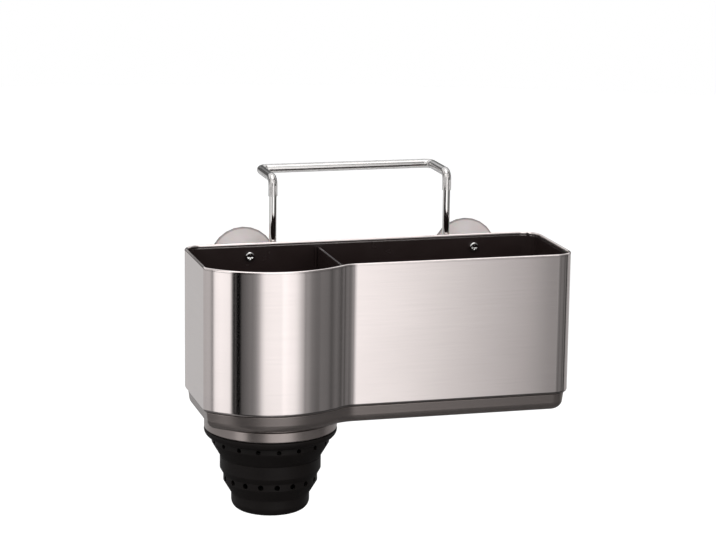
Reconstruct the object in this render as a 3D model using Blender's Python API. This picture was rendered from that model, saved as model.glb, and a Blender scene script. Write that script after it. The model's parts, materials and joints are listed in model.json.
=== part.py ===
"""A sink caddy: a steel shell with a black liner, a grey base, a fold-up brush cup, a wire hanger
and two suction cups.

Metres, +Z up, front towards -Y. The origin lies midway between the suction cups, in the plane
that their lips press on. Depths are measured forwards from the shell's rear face, and heights
downwards from the top of its rim.
"""
import math

import bmesh
import bpy
from mathutils import Matrix, Vector

# Driving sizes of the whole
WIDTH = 0.2383
DEPTH = 0.0775
SHELL_HEIGHT = 0.0905
STAND_OFF = 0.018
RIM_Z = 0.015
GAP = 0.0003

# Plan of the body
BULGE_R = 0.0618
BULGE_SIDE = 0.0485
BULGE_SETBACK = 0.0468
CORNER_R = 0.012
CREASE_R = 0.006
JUNCTION_R = 0.014
SMALLEST_R = 0.0006

# Steel shell
SHEET = 0.0008
BEAD_R = 0.0011
DRAWN_IN = 0.002
DRAWN_HEIGHT = 0.003

# Inner liner and divider
LINER_WALL = 0.0018
LINER_FLOOR = 0.002
LINER_CORNER_R = 0.002
LINER_SHORT = 0.0025
SPOUT_R = 0.0332
SPOUT_WALL = 0.0013
SPOUT_REACH = 0.004
DIVIDER_THICK = 0.0015
DIVIDER_DROP = 0.0035
GUIDE_WIDTH = 0.0014
GUIDE_REACH = 0.002
FLOOR_RIB_WIDTH = 0.002
FLOOR_RIB_HEIGHT = 0.0015
FLOOR_RIBS = 5
DRAIN_WIDTH = 0.003
DRAIN_LENGTH = 0.014
DRAIN_COLUMNS = 3

# Base tray and the ring that holds the cup
TRAY_BAND = 0.0115
TRAY_CORNER_R = 0.0065
TRAY_TAPER = 0.0006
TRAY_WALL = 0.0016
TRAY_FLOOR = 0.002
CUP_SETBACK = 0.034
COLLAR_R = 0.0421
COLLAR_DROP = 0.008
COLLAR_EDGE = 0.0008
SPIGOT_R = 0.0375
SPIGOT_WALL = 0.0015
SPIGOT_RISE = 0.0035
CATCH_REACH = 0.0014
CATCH_HEIGHT = 0.0011
CATCH_WIDTH = 0.009
CATCHES = 4

# Brush cup, one silicone moulding that turns at its two thin folds
SILICONE = 0.0018
FOLD_WALL = 0.0012
LIP_R = 0.0422
UPPER_R = 0.0373
MIDDLE_R = 0.0321
LOWER_R = 0.0299
BASE_R = 0.0249
LIP_SIDE = 0.0005
UPPER_BAND = 0.0036
UPPER_FOLD = 0.0089
MIDDLE_BAND = 0.0087
STEP_HEIGHT = 0.0034
LOWER_BAND = 0.0044
LOWER_FOLD = 0.0083
BASE_HEIGHT = 0.0104
CUP_CORNER_R = 0.006
UPPER_HOLE_R = 0.0015
LOWER_HOLE_R = 0.0018
HOLES = 18
FIRST_HOLE_ANGLE = math.radians(5)

# Wire hanger
WIRE_R = 0.0024
SLEEVE_R = 0.0030
SLEEVE_BORE_R = 0.0026
LEG_SPACING = 0.1167
LEG_BACK = 0.0045
ARM_LENGTH = 0.0368
HANGER_RISE = 0.0405
BEND_R = 0.005
SLEEVE_RISE = 0.0289
LEG_CAP_R = 0.0038
LEG_CAP_HEIGHT = 0.006

# Rear brackets, their screws and the suction cups
BRACKET_TOP = 0.0025
BRACKET_HEIGHT = 0.0245
BRACKET_PLATE = 0.0036
BRACKET_MARGIN = 0.0012
BRACKET_CORNER_R = 0.004
SOCKET_R = 0.009
SOCKET_REACH = 0.0095
SOCKET_WALL = 0.0022
SUCTION_INSET = 0.0439
SUCTION_R = 0.022
SUCTION_LIP = 0.0016
SUCTION_EDGE = 0.0012
NECK_R = 0.004
BUTTON_R = 0.006
BUTTON_THICK = 0.0022
SCREW_DROP = 0.0083
SCREW_HEAD_R = 0.0029
SCREW_HEAD_HEIGHT = 0.0018
SCREW_R = 0.0015
RECESS_WIDTH = 0.0008
RECESS_LENGTH = 0.0032
RECESS_DEPTH = 0.0009

# Section of a suction cup as shares of its radius and of the bell's length
HOLLOW_SHARES = ((0.1, 0.55), (0.3, 0.47), (0.5, 0.32), (0.75, 0.1))
BELL_SHARES = ((1, 0), (0.8, 0.12), (0.6, 0.32), (0.42, 0.62), (0.3, 1))

# Screws that hold the base to the liner
BOSS_R = 0.0036
BASE_SCREW_R = 0.0013
BASE_SCREW_HEAD_R = 0.0026
BASE_SCREW_HEAD = 0.0012
BASE_SCREW_BITE = 0.008
BOSS_MARGIN = 0.0115
BOSS_SIDE = 0.018

# Fineness of round forms
CORNER_STEPS = 5
FILLET_STEPS = 2
BULGE_STEPS = 24
BEAD_STEPS = 6
ROUND_STEPS = 32
SMALL_STEPS = 12
HOLE_STEPS = 8
WIRE_STEPS = 10
BEND_STEPS = 4
SMOOTH_ANGLE = math.radians(35)

# Places worked out from the sizes above
REAR_Y = -STAND_OFF
LEFT_X = -WIDTH / 2
BULGE_X = LEFT_X + BULGE_SIDE
BULGE_Y = REAR_Y - DEPTH + BULGE_SETBACK
CUP_X = BULGE_X
CUP_Y = REAR_Y - DEPTH + CUP_SETBACK
LINER_OUT = SHEET + GAP
LINER_IN = LINER_OUT + LINER_WALL
LINER_BOTTOM = SHELL_HEIGHT - LINER_SHORT
FLOOR_TOP = LINER_BOTTOM - LINER_FLOOR
TRAY_TOP = SHELL_HEIGHT + GAP
TRAY_BOTTOM = SHELL_HEIGHT + TRAY_BAND
TRAY_FLOOR_TOP = TRAY_BOTTOM - TRAY_FLOOR
TRAY_LIP_OUT = DRAWN_IN + SHEET + GAP
TRAY_LIP_IN = TRAY_LIP_OUT + TRAY_WALL
COLLAR_TOP = TRAY_BOTTOM + GAP
COLLAR_END = TRAY_BOTTOM + COLLAR_DROP
SPOUT_END = TRAY_BOTTOM + SPOUT_REACH
SPIGOT_TOP = TRAY_BOTTOM - SPIGOT_RISE
CUP_NECK_R = SPIGOT_R - SPIGOT_WALL - GAP
LIP_END = COLLAR_END + LIP_SIDE
UPPER_BAND_TOP = LIP_END + LIP_R - UPPER_R
UPPER_FOLD_TOP = UPPER_BAND_TOP + UPPER_BAND
MIDDLE_TOP = UPPER_FOLD_TOP + UPPER_FOLD
STEP_TOP = MIDDLE_TOP + MIDDLE_BAND
STEP_END = STEP_TOP + STEP_HEIGHT
LOWER_FOLD_TOP = STEP_END + LOWER_BAND
BASE_TOP = LOWER_FOLD_TOP + LOWER_FOLD
CUP_BOTTOM = BASE_TOP + BASE_HEIGHT
UPPER_HOLE_ROW = (UPPER_BAND_TOP + UPPER_FOLD_TOP) / 2
LOWER_HOLE_ROW = (STEP_END + LOWER_FOLD_TOP) / 2
LEG_X = LEG_SPACING / 2
LEG_Y = REAR_Y + LEG_BACK
GUIDE_R = LEG_BACK - GAP
BRACKET_END = BRACKET_TOP + BRACKET_HEIGHT
LEG_END = BRACKET_END + GAP + LEG_CAP_HEIGHT
SUCTION_X = WIDTH / 2 - SUCTION_INSET


def at_height(drop):
    """The world height of a point that lies this far below the rim."""
    return RIM_Z - drop


def at_depth(depth):
    """The world Y of a point that lies this far in front of the rear face."""
    return REAR_Y - depth


def arc(centre, radius, start, end, steps):
    """Points along an arc, from one angle to another, both ends included."""
    points = []
    for i in range(steps + 1):
        angle = start + (end - start) * i / steps
        points.append((centre[0] + radius * math.cos(angle), centre[1] + radius * math.sin(angle)))
    return points


def body_outline(inset):
    """The body's plan, moved inwards by an inset, anticlockwise from the rear left corner."""
    left, right = LEFT_X + inset, -LEFT_X - inset
    rear, front = REAR_Y - inset, at_depth(DEPTH) + inset
    corner = max(CORNER_R - inset, SMALLEST_R)
    crease = max(CREASE_R - inset, SMALLEST_R)
    junction = JUNCTION_R + inset
    bulge = BULGE_R - inset
    crease_x = left + crease
    crease_y = BULGE_Y - math.sqrt((bulge - crease) ** 2 - (crease_x - BULGE_X) ** 2)
    crease_angle = math.atan2(crease_y - BULGE_Y, crease_x - BULGE_X) + 2 * math.pi
    junction_y = front - junction
    junction_x = BULGE_X + math.sqrt((bulge + junction) ** 2 - (junction_y - BULGE_Y) ** 2)
    junction_angle = math.atan2(junction_y - BULGE_Y, junction_x - BULGE_X) + 2 * math.pi
    half, whole = math.pi / 2, math.pi
    points = arc((left + corner, rear - corner), corner, half, whole, CORNER_STEPS)
    points += arc((crease_x, crease_y), crease, whole, crease_angle, CORNER_STEPS)
    points += arc((BULGE_X, BULGE_Y), bulge, crease_angle, junction_angle, BULGE_STEPS)[1:-1]
    points += arc((junction_x, junction_y), junction, junction_angle - whole, half, CORNER_STEPS)
    points += arc((right - corner, front + corner), corner, 3 * half, 4 * half, CORNER_STEPS)
    points += arc((right - corner, rear - corner), corner, 0, half, CORNER_STEPS)
    return points


def front_wall_y(x, inset):
    """The Y of the front wall at a place beside the junction of bulge and flat front."""
    front = at_depth(DEPTH) + inset
    junction = JUNCTION_R + inset
    bulge = BULGE_R - inset
    junction_y = front - junction
    junction_x = BULGE_X + math.sqrt((bulge + junction) ** 2 - (junction_y - BULGE_Y) ** 2)
    side = min(x - junction_x, 0)
    return junction_y + math.sqrt(junction ** 2 - side ** 2)


JUNCTION_X = BULGE_X + math.sqrt(BULGE_R ** 2 - (at_depth(DEPTH) - BULGE_Y) ** 2)


def clear_scene():
    """Removes whatever the file holds, so that the part is all there is."""
    for item in list(bpy.data.objects):
        bpy.data.objects.remove(item, do_unlink=True)


def material(name, colour, roughness, metallic):
    """A Principled material, made once and then shared by its name."""
    found = bpy.data.materials.get(name)
    if found:
        return found
    made = bpy.data.materials.new(name)
    made.use_nodes = True
    shader = made.node_tree.nodes["Principled BSDF"]
    shader.inputs["Base Color"].default_value = (*colour, 1)
    shader.inputs["Roughness"].default_value = roughness
    shader.inputs["Metallic"].default_value = metallic
    made.diffuse_color = (*colour, 1)
    return made


def steel():
    return material("brushed_steel", (0.62, 0.60, 0.59), 0.30, 1)


def polished():
    return material("polished_steel", (0.72, 0.71, 0.70), 0.12, 1)


def black_plastic():
    return material("black_plastic", (0.012, 0.010, 0.011), 0.30, 0)


def grey_plastic():
    return material("grey_plastic", (0.14, 0.125, 0.12), 0.35, 0)


def silicone():
    return material("black_silicone", (0.013, 0.011, 0.011), 0.55, 0)


def clear_vinyl():
    return material("sleeve_vinyl", (0.70, 0.69, 0.68), 0.15, 0)


def suction_vinyl():
    return material("suction_vinyl", (0.62, 0.59, 0.58), 0.35, 0)


def add_object(name, bm, finish):
    """Turns a bmesh into a named object with smooth round faces and its finish."""
    bmesh.ops.recalc_face_normals(bm, faces=bm.faces)
    mesh = bpy.data.meshes.new(name)
    bm.to_mesh(mesh)
    bm.free()
    mesh.shade_smooth()
    mesh.set_sharp_from_angle(angle=SMOOTH_ANGLE)
    made = bpy.data.objects.new(name, mesh)
    bpy.context.scene.collection.objects.link(made)
    if finish:
        mesh.materials.append(finish)
    return made


def skin(bm, loops, closed=False, caps=False):
    """Joins matching loops of points with faces. A closed skin ends where it began."""
    rings = [[bm.verts.new(point) for point in loop] for loop in loops]
    pairs = list(zip(rings, rings[1:]))
    if closed:
        pairs.append((rings[-1], rings[0]))
    for ring, following in pairs:
        for i in range(len(ring)):
            j = (i + 1) % len(ring)
            bm.faces.new((ring[i], ring[j], following[j], following[i]))
    if caps:
        bm.faces.new(rings[0])
        bm.faces.new(rings[-1])


def wrap(name, profile, finish, closed=True):
    """A wall round the body's plan, its section given as pairs of inset and drop."""
    loops = []
    for inset, drop in profile:
        loops.append([(x, y, at_height(drop)) for x, y in body_outline(inset)])
    bm = bmesh.new()
    skin(bm, loops, closed=closed, caps=not closed)
    return add_object(name, bm, finish)


def turned(name, profile, finish, place, axis="Z", steps=ROUND_STEPS, ring=False):
    """A round piece, its section given as pairs of radius and distance along the axis.

    The section of a ring closes on itself. Any other ends in a flat face at each end.
    """
    bm = bmesh.new()
    points = [bm.verts.new((radius, 0, along)) for radius, along in profile]
    edges = [bm.edges.new(pair) for pair in zip(points, points[1:])]
    if ring:
        edges.append(bm.edges.new((points[-1], points[0])))
    bmesh.ops.spin(
        bm, geom=points + edges, cent=(0, 0, 0), axis=(0, 0, 1),
        angle=2 * math.pi, steps=steps, use_merge=True, use_duplicate=False,
    )
    if not ring:
        bmesh.ops.holes_fill(bm, edges=bm.edges, sides=steps)
    if axis == "Y":
        bmesh.ops.rotate(bm, verts=bm.verts, matrix=Matrix.Rotation(-math.pi / 2, 3, "X"))
    bmesh.ops.translate(bm, verts=bm.verts, vec=place)
    return add_object(name, bm, finish)


def plate(name, outline, low, high, finish, axis="Z"):
    """A flat outline pulled out between two places along an axis."""
    loops = []
    for along in (low, high):
        if axis == "Z":
            loops.append([(u, v, along) for u, v in outline])
        elif axis == "Y":
            loops.append([(u, along, v) for u, v in outline])
        else:
            loops.append([(along, u, v) for u, v in outline])
    bm = bmesh.new()
    skin(bm, loops, caps=True)
    return add_object(name, bm, finish)


def rounded_box(low, high, radius, steps=CORNER_STEPS):
    """The outline of a rectangle with round corners."""
    quarter = math.pi / 2
    places = (
        (high[0] - radius, high[1] - radius),
        (low[0] + radius, high[1] - radius),
        (low[0] + radius, low[1] + radius),
        (high[0] - radius, low[1] + radius),
    )
    points = []
    for i, place in enumerate(places):
        points += arc(place, radius, i * quarter, (i + 1) * quarter, steps)
    return points


def box_outline(low, high):
    """The outline of a plain rectangle."""
    return [(low[0], low[1]), (high[0], low[1]), (high[0], high[1]), (low[0], high[1])]


def join_to(target, other, operation):
    """Adds or cuts another shape, which stays in the file as a hidden guide."""
    other.hide_render = True
    other.display_type = "WIRE"
    step = target.modifiers.new(operation.lower() + "_" + other.name, "BOOLEAN")
    step.object = other
    step.operation = operation
    step.solver = "EXACT"


def rod(name, radius, low, high, place, axis="Z", steps=ROUND_STEPS):
    """A plain round guide from one distance along its axis to another."""
    return turned(name, [(radius, low), (radius, high)], None, place, axis, steps)


def bent_path(corners, radius):
    """Points along straight runs whose corners are rounded."""
    points = [corners[0]]
    for before, corner, after in zip(corners, corners[1:], corners[2:]):
        back = (before - corner).normalized()
        ahead = (after - corner).normalized()
        centre = corner + (back + ahead) * radius
        for i in range(BEND_STEPS + 1):
            angle = math.pi / 2 * i / BEND_STEPS
            points.append(centre - ahead * radius * math.cos(angle) - back * radius * math.sin(angle))
    return points + [corners[-1]]


def rings_along(path, radius, steps):
    """Round loops set square to a path."""
    rings = []
    side = Vector((1, 0, 0))
    last = (path[1] - path[0]).normalized()
    for i, point in enumerate(path):
        before = path[max(i - 1, 0)]
        after = path[min(i + 1, len(path) - 1)]
        run = (after - before).normalized()
        side = last.rotation_difference(run) @ side
        last = run
        up = run.cross(side).normalized()
        ring = []
        for k in range(steps):
            angle = 2 * math.pi * k / steps
            ring.append(point + side * radius * math.cos(angle) + up * radius * math.sin(angle))
        rings.append(ring)
    return rings


def add_axis(name, place, parent=None):
    """An empty on a joint's axis, to which the moving pieces are parented."""
    made = bpy.data.objects.new(name, None)
    bpy.context.scene.collection.objects.link(made)
    made.location = place
    if parent:
        made.parent = parent
        made.matrix_parent_inverse = Matrix.Translation(-parent.matrix_world.translation)
    bpy.context.view_layer.update()
    return made


def hang_on(axis, *pieces):
    """Parents pieces to a joint's empty without moving them."""
    for piece in pieces:
        piece.parent = axis
        piece.matrix_parent_inverse = axis.matrix_world.inverted()


def make_shell():
    """The steel wall: a rolled bead at the top and an edge drawn in at the bottom."""
    crossing = math.pi + math.asin(math.sqrt(1 - (SHEET / BEAD_R) ** 2))
    bead = arc((SHEET, -BEAD_R), BEAD_R, crossing, -math.pi / 2, BEAD_STEPS)
    profile = [(DRAWN_IN, SHELL_HEIGHT), (0, SHELL_HEIGHT - DRAWN_HEIGHT)]
    profile += [(inset, -height) for inset, height in bead]
    profile += [(SHEET, SHELL_HEIGHT - DRAWN_HEIGHT), (DRAWN_IN + SHEET, SHELL_HEIGHT)]
    shell = wrap("outer_shell", profile, steel())
    for side in (-1, 1):
        hole = rod(
            "guide_shell_hole", SCREW_R + GAP, -SHEET - GAP, SHEET + GAP,
            (side * SUCTION_X, REAR_Y, at_height(SCREW_DROP)), "Y", SMALL_STEPS,
        )
        join_to(shell, hole, "DIFFERENCE")
    return shell


def boss_places():
    """Where the four screws stand that hold the base to the liner."""
    left = JUNCTION_X + BOSS_SIDE
    right = -LEFT_X - BOSS_SIDE
    places = []
    for x in (left, right):
        for depth in (BOSS_MARGIN, DEPTH - BOSS_MARGIN):
            places.append((x, at_depth(depth)))
    return places


def drain_places():
    """Centres of the drain slots, one row between each two floor ribs."""
    left = JUNCTION_X + DRAIN_LENGTH
    right = -LEFT_X - DRAIN_LENGTH
    places = []
    for row in range(FLOOR_RIBS - 1):
        depth = rib_depth(row + 0.5)
        for column in range(DRAIN_COLUMNS):
            share = column / (DRAIN_COLUMNS - 1)
            places.append((left + (right - left) * share, at_depth(depth)))
    return places


def rib_depth(index):
    """The depth of a floor rib, counted from the rear one."""
    return LINER_IN + (DEPTH - 2 * LINER_IN) * (index + 1) / (FLOOR_RIBS + 1)


def make_liner():
    """The black bucket: one tall wall, a floor with ribs and drains, and a spout for the cup."""
    corner = LINER_CORNER_R
    down, back = -math.pi / 2, -math.pi
    outer = arc((LINER_OUT + corner, -(LINER_BOTTOM - corner)), corner, down, back, FILLET_STEPS)
    inner = arc((LINER_IN + corner, -(FLOOR_TOP - corner)), corner, back, down, FILLET_STEPS)
    top = 2 * BEAD_R + GAP
    profile = [(inset, -height) for inset, height in outer]
    profile += [(LINER_OUT, top), (LINER_IN, top)]
    profile += [(inset, -height) for inset, height in inner]
    liner = wrap("inner_liner", profile, black_plastic(), closed=False)
    place = (CUP_X, CUP_Y, 0)
    spout = rod("guide_spout", SPOUT_R, at_height(SPOUT_END), at_height(LINER_BOTTOM - GAP), place)
    join_to(liner, spout, "UNION")
    for number, (x, y) in enumerate(boss_places()):
        boss = rod(
            "guide_boss_%d" % number, BOSS_R, at_height(TRAY_FLOOR_TOP - GAP),
            at_height(LINER_BOTTOM - GAP), (x, y, 0), steps=SMALL_STEPS,
        )
        join_to(liner, boss, "UNION")
    add_divider_guides(liner)
    add_floor_ribs(liner)
    bore_r = SPOUT_R - SPOUT_WALL
    bore = rod("guide_bore", bore_r, at_height(SPOUT_END + GAP), at_height(FLOOR_TOP - GAP), place)
    join_to(liner, bore, "DIFFERENCE")
    cut_liner_holes(liner)
    return liner


def add_divider_guides(liner):
    """Two upright ribs at each end of the divider, which slides down between them."""
    near = DIVIDER_THICK / 2 + GAP
    top, bottom = at_height(DIVIDER_DROP), at_height(FLOOR_TOP + GAP)
    rear_wall = REAR_Y - LINER_IN
    for side in (-1, 1):
        low = min(side * near, side * (near + GUIDE_WIDTH)) + JUNCTION_X
        high = low + GUIDE_WIDTH
        front_wall = front_wall_y((low + high) / 2, LINER_IN)
        spans = (
            (rear_wall - GUIDE_REACH, rear_wall + LINER_WALL / 2),
            (front_wall - LINER_WALL / 2, front_wall + GUIDE_REACH),
        )
        for span in spans:
            outline = box_outline((low, span[0]), (high, span[1]))
            join_to(liner, plate("guide_divider_rib", outline, bottom, top, None), "UNION")


def add_floor_ribs(liner):
    """Low ribs that keep a sponge off the floor."""
    left = JUNCTION_X + DRAIN_LENGTH / 2
    right = -LEFT_X - DRAIN_LENGTH / 2
    for index in range(FLOOR_RIBS):
        y = at_depth(rib_depth(index))
        outline = rounded_box(
            (left, y - FLOOR_RIB_WIDTH / 2), (right, y + FLOOR_RIB_WIDTH / 2),
            FLOOR_RIB_WIDTH / 2 - GAP, 2,
        )
        low, high = at_height(FLOOR_TOP + GAP), at_height(FLOOR_TOP - FLOOR_RIB_HEIGHT)
        join_to(liner, plate("guide_floor_rib", outline, low, high, None), "UNION")


def cut_liner_holes(liner):
    """Drain slots, screw holes in the bosses and the holes in the rear wall."""
    low, high = at_height(LINER_BOTTOM + GAP), at_height(FLOOR_TOP - GAP)
    for number, (x, y) in enumerate(drain_places()):
        reach = (DRAIN_LENGTH / 2, DRAIN_WIDTH / 2)
        outline = rounded_box((x - reach[0], y - reach[1]), (x + reach[0], y + reach[1]), reach[1] - GAP, 1)
        join_to(liner, plate("guide_drain_%d" % number, outline, low, high, None), "DIFFERENCE")
    for x, y in boss_places():
        low = at_height(TRAY_FLOOR_TOP)
        bore = rod(
            "guide_boss_bore", BASE_SCREW_R + GAP, low, low + BASE_SCREW_BITE + GAP,
            (x, y, 0), steps=SMALL_STEPS,
        )
        join_to(liner, bore, "DIFFERENCE")
    for side in (-1, 1):
        place = (side * SUCTION_X, REAR_Y, at_height(SCREW_DROP))
        hole = rod("guide_liner_hole", SCREW_R + GAP, -LINER_IN - GAP, 0, place, "Y", SMALL_STEPS)
        join_to(liner, hole, "DIFFERENCE")


def make_divider():
    """The upright panel between the two compartments, its lower corners cut to clear the floor's."""
    near = DIVIDER_THICK / 2
    rear = REAR_Y - LINER_IN - GAP
    front = max(front_wall_y(JUNCTION_X + side * near, LINER_IN) for side in (-1, 1)) + GAP
    bottom = at_height(FLOOR_TOP - GAP)
    top = at_height(DIVIDER_DROP)
    cut = LINER_CORNER_R
    outline = [(front, bottom + cut), (front + cut, bottom), (rear - cut, bottom)]
    outline += [(rear, bottom + cut), (rear, top), (front, top)]
    left, right = JUNCTION_X - near, JUNCTION_X + near
    divider = plate("divider", outline, left, right, black_plastic(), axis="X")
    edge = divider.modifiers.new("edge", "BEVEL")
    edge.width = DIVIDER_THICK / 4
    edge.segments = 1
    edge.limit_method = "ANGLE"
    return divider


def make_tray():
    """The grey base: a band under the steel that rounds into the floor, and a round boss."""
    band = DRAWN_IN + TRAY_TAPER
    corner = TRAY_CORNER_R
    rounding = arc((band + corner, -(TRAY_BOTTOM - corner)), corner, -math.pi / 2, -math.pi, CORNER_STEPS)
    profile = [(inset, -height) for inset, height in rounding]
    profile += [(DRAWN_IN, TRAY_TOP), (TRAY_LIP_OUT, TRAY_TOP)]
    profile += [(TRAY_LIP_OUT, LINER_BOTTOM + GAP)]
    tray = wrap("base_tray", profile, grey_plastic(), closed=False)
    place = (CUP_X, CUP_Y, 0)
    boss_r = COLLAR_R - COLLAR_EDGE
    boss = rod("guide_tray_boss", boss_r, at_height(TRAY_BOTTOM), at_height(TRAY_TOP + DRAWN_HEIGHT), place)
    join_to(tray, boss, "UNION")
    hollow = wrap("guide_hollow", [(TRAY_LIP_IN, TRAY_FLOOR_TOP), (TRAY_LIP_IN, FLOOR_TOP)], None, closed=False)
    join_to(tray, hollow, "DIFFERENCE")
    bore_r = SPIGOT_R + GAP
    bore = rod("guide_tray_bore", bore_r, at_height(TRAY_BOTTOM + GAP), at_height(FLOOR_TOP), place)
    join_to(tray, bore, "DIFFERENCE")
    cut_tray_holes(tray)
    return tray


def cut_tray_holes(tray):
    """Drain slots under the sponge side and stepped holes for the screws."""
    low, high = at_height(TRAY_BOTTOM + GAP), at_height(TRAY_FLOOR_TOP - GAP)
    rows = sorted({y for x, y in drain_places()})
    for number, (x, y) in enumerate(drain_places()):
        if y not in rows[1:-1]:
            continue
        reach = (DRAIN_LENGTH / 2, DRAIN_WIDTH / 2)
        outline = rounded_box((x - reach[0], y - reach[1]), (x + reach[0], y + reach[1]), reach[1] - GAP, 1)
        join_to(tray, plate("guide_tray_drain_%d" % number, outline, low, high, None), "DIFFERENCE")
    for x, y in boss_places():
        step = at_height(TRAY_BOTTOM) + BASE_SCREW_HEAD + GAP
        profile = [
            (BASE_SCREW_HEAD_R + GAP, low), (BASE_SCREW_HEAD_R + GAP, step),
            (BASE_SCREW_R + GAP, step), (BASE_SCREW_R + GAP, high),
        ]
        join_to(tray, turned("guide_tray_screw", profile, None, (x, y, 0), steps=SMALL_STEPS), "DIFFERENCE")


def make_retainer():
    """The grey ring under the bulge, its spigot held in the base by four catches."""
    bore_r = SPIGOT_R - SPIGOT_WALL
    end, top, spigot = at_height(COLLAR_END), at_height(COLLAR_TOP), at_height(SPIGOT_TOP)
    profile = [
        (bore_r, end), (COLLAR_R - COLLAR_EDGE, end), (COLLAR_R, end + COLLAR_EDGE),
        (COLLAR_R, top - COLLAR_EDGE), (COLLAR_R - COLLAR_EDGE, top), (SPIGOT_R, top),
        (SPIGOT_R, spigot), (bore_r, spigot),
    ]
    ring = turned("cup_retainer", profile, grey_plastic(), (CUP_X, CUP_Y, 0), ring=True)
    low = at_height(TRAY_FLOOR_TOP) + GAP
    start = SPIGOT_R - SPIGOT_WALL / 2
    for number in range(CATCHES):
        outline = box_outline((start, -CATCH_WIDTH / 2), (SPIGOT_R + CATCH_REACH, CATCH_WIDTH / 2))
        turn = math.pi / CATCHES + 2 * math.pi * number / CATCHES
        placed = []
        for u, v in outline:
            x = CUP_X + u * math.cos(turn) - v * math.sin(turn)
            y = CUP_Y + u * math.sin(turn) + v * math.cos(turn)
            placed.append((x, y))
        join_to(ring, plate("guide_catch_%d" % number, placed, low, low + CATCH_HEIGHT, None), "UNION")
    return ring


def cup_ring(name, profile, ring=True):
    """A silicone ring of the brush cup, its section given as pairs of radius and drop."""
    section = [(radius, at_height(drop)) for radius, drop in profile]
    return turned(name, section, silicone(), (CUP_X, CUP_Y, 0), ring=ring)


def cut_cup_holes(ring, radius, drop, hole_r):
    """A row of round drain holes through a band."""
    bm = bmesh.new()
    for number in range(HOLES):
        turn = FIRST_HOLE_ANGLE + 2 * math.pi * number / HOLES
        facing = Matrix.Rotation(turn, 4, "Z") @ Matrix.Rotation(math.pi / 2, 4, "Y")
        out = Vector((math.cos(turn), math.sin(turn), 0)) * radius
        place = Vector((CUP_X, CUP_Y, at_height(drop))) + out
        bmesh.ops.create_cone(
            bm, cap_ends=True, segments=HOLE_STEPS, radius1=hole_r, radius2=hole_r,
            depth=4 * SILICONE, matrix=Matrix.Translation(place) @ facing,
        )
    join_to(ring, add_object("guide_holes_" + ring.name, bm, None), "DIFFERENCE")


def make_cup_flange():
    """The cup's fixed top: a flange over the spigot, a fat lip and the upper row of holes."""
    neck_in = SPOUT_R + GAP
    flange_top = SPIGOT_TOP - GAP - SILICONE
    lip_top = COLLAR_END + GAP
    profile = [
        (neck_in, flange_top), (SPIGOT_R, flange_top), (SPIGOT_R, SPIGOT_TOP - GAP),
        (CUP_NECK_R, SPIGOT_TOP - GAP), (CUP_NECK_R, lip_top), (LIP_R - COLLAR_EDGE, lip_top),
    ]
    lip = arc((UPPER_R, -LIP_END), LIP_R - UPPER_R, 0, -math.pi / 2, CORNER_STEPS)
    profile += [(radius, -height) for radius, height in lip]
    inner = UPPER_R - SILICONE
    profile += [(UPPER_R, UPPER_FOLD_TOP), (inner, UPPER_FOLD_TOP), (inner, lip_top + SILICONE)]
    profile += [(neck_in, lip_top)]
    ring = cup_ring("cup_flange", profile)
    cut_cup_holes(ring, UPPER_R, UPPER_HOLE_ROW, UPPER_HOLE_R)
    return ring


def make_fold(name, top_r, top, end_r, end):
    """A thin slanted web, which turns over when the cup is pushed up."""
    top, end = top + GAP, end - GAP
    profile = [(top_r, top), (end_r, end), (end_r - FOLD_WALL, end), (top_r - FOLD_WALL, top)]
    return cup_ring(name, profile)


def make_middle_band():
    """The cup's middle ring: a tall band, a small step and the lower row of holes."""
    inner = LOWER_R - SILICONE
    profile = [
        (MIDDLE_R, MIDDLE_TOP), (MIDDLE_R, STEP_TOP), (LOWER_R, STEP_END), (LOWER_R, LOWER_FOLD_TOP),
        (inner, LOWER_FOLD_TOP), (inner, STEP_END), (MIDDLE_R - SILICONE, STEP_TOP),
        (MIDDLE_R - SILICONE, MIDDLE_TOP),
    ]
    ring = cup_ring("middle_band", profile)
    cut_cup_holes(ring, LOWER_R, LOWER_HOLE_ROW, LOWER_HOLE_R)
    return ring


def make_cup_base():
    """The closed round bottom of the cup."""
    corner = CUP_CORNER_R
    inner_r = corner - SILICONE
    outer = arc((BASE_R - corner, -(CUP_BOTTOM - corner)), corner, 0, -math.pi / 2, CORNER_STEPS)
    inner = arc((BASE_R - corner, -(CUP_BOTTOM - corner)), inner_r, -math.pi / 2, 0, CORNER_STEPS)
    profile = [(radius, -height) for radius, height in inner]
    profile += [(BASE_R - SILICONE, BASE_TOP), (BASE_R, BASE_TOP)]
    profile += [(radius, -height) for radius, height in outer]
    return cup_ring("cup_base", profile, ring=False)


def hanger_corners(leg_end):
    """The corners of the hanger's centre line, from one leg's lower end to the other's."""
    top = at_height(-HANGER_RISE)
    back = LEG_Y + ARM_LENGTH
    corners = []
    for x in (-LEG_X, LEG_X):
        leg = [Vector((x, LEG_Y, leg_end)), Vector((x, LEG_Y, top)), Vector((x, back, top))]
        corners += leg if x < 0 else leg[::-1]
    return corners


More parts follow.
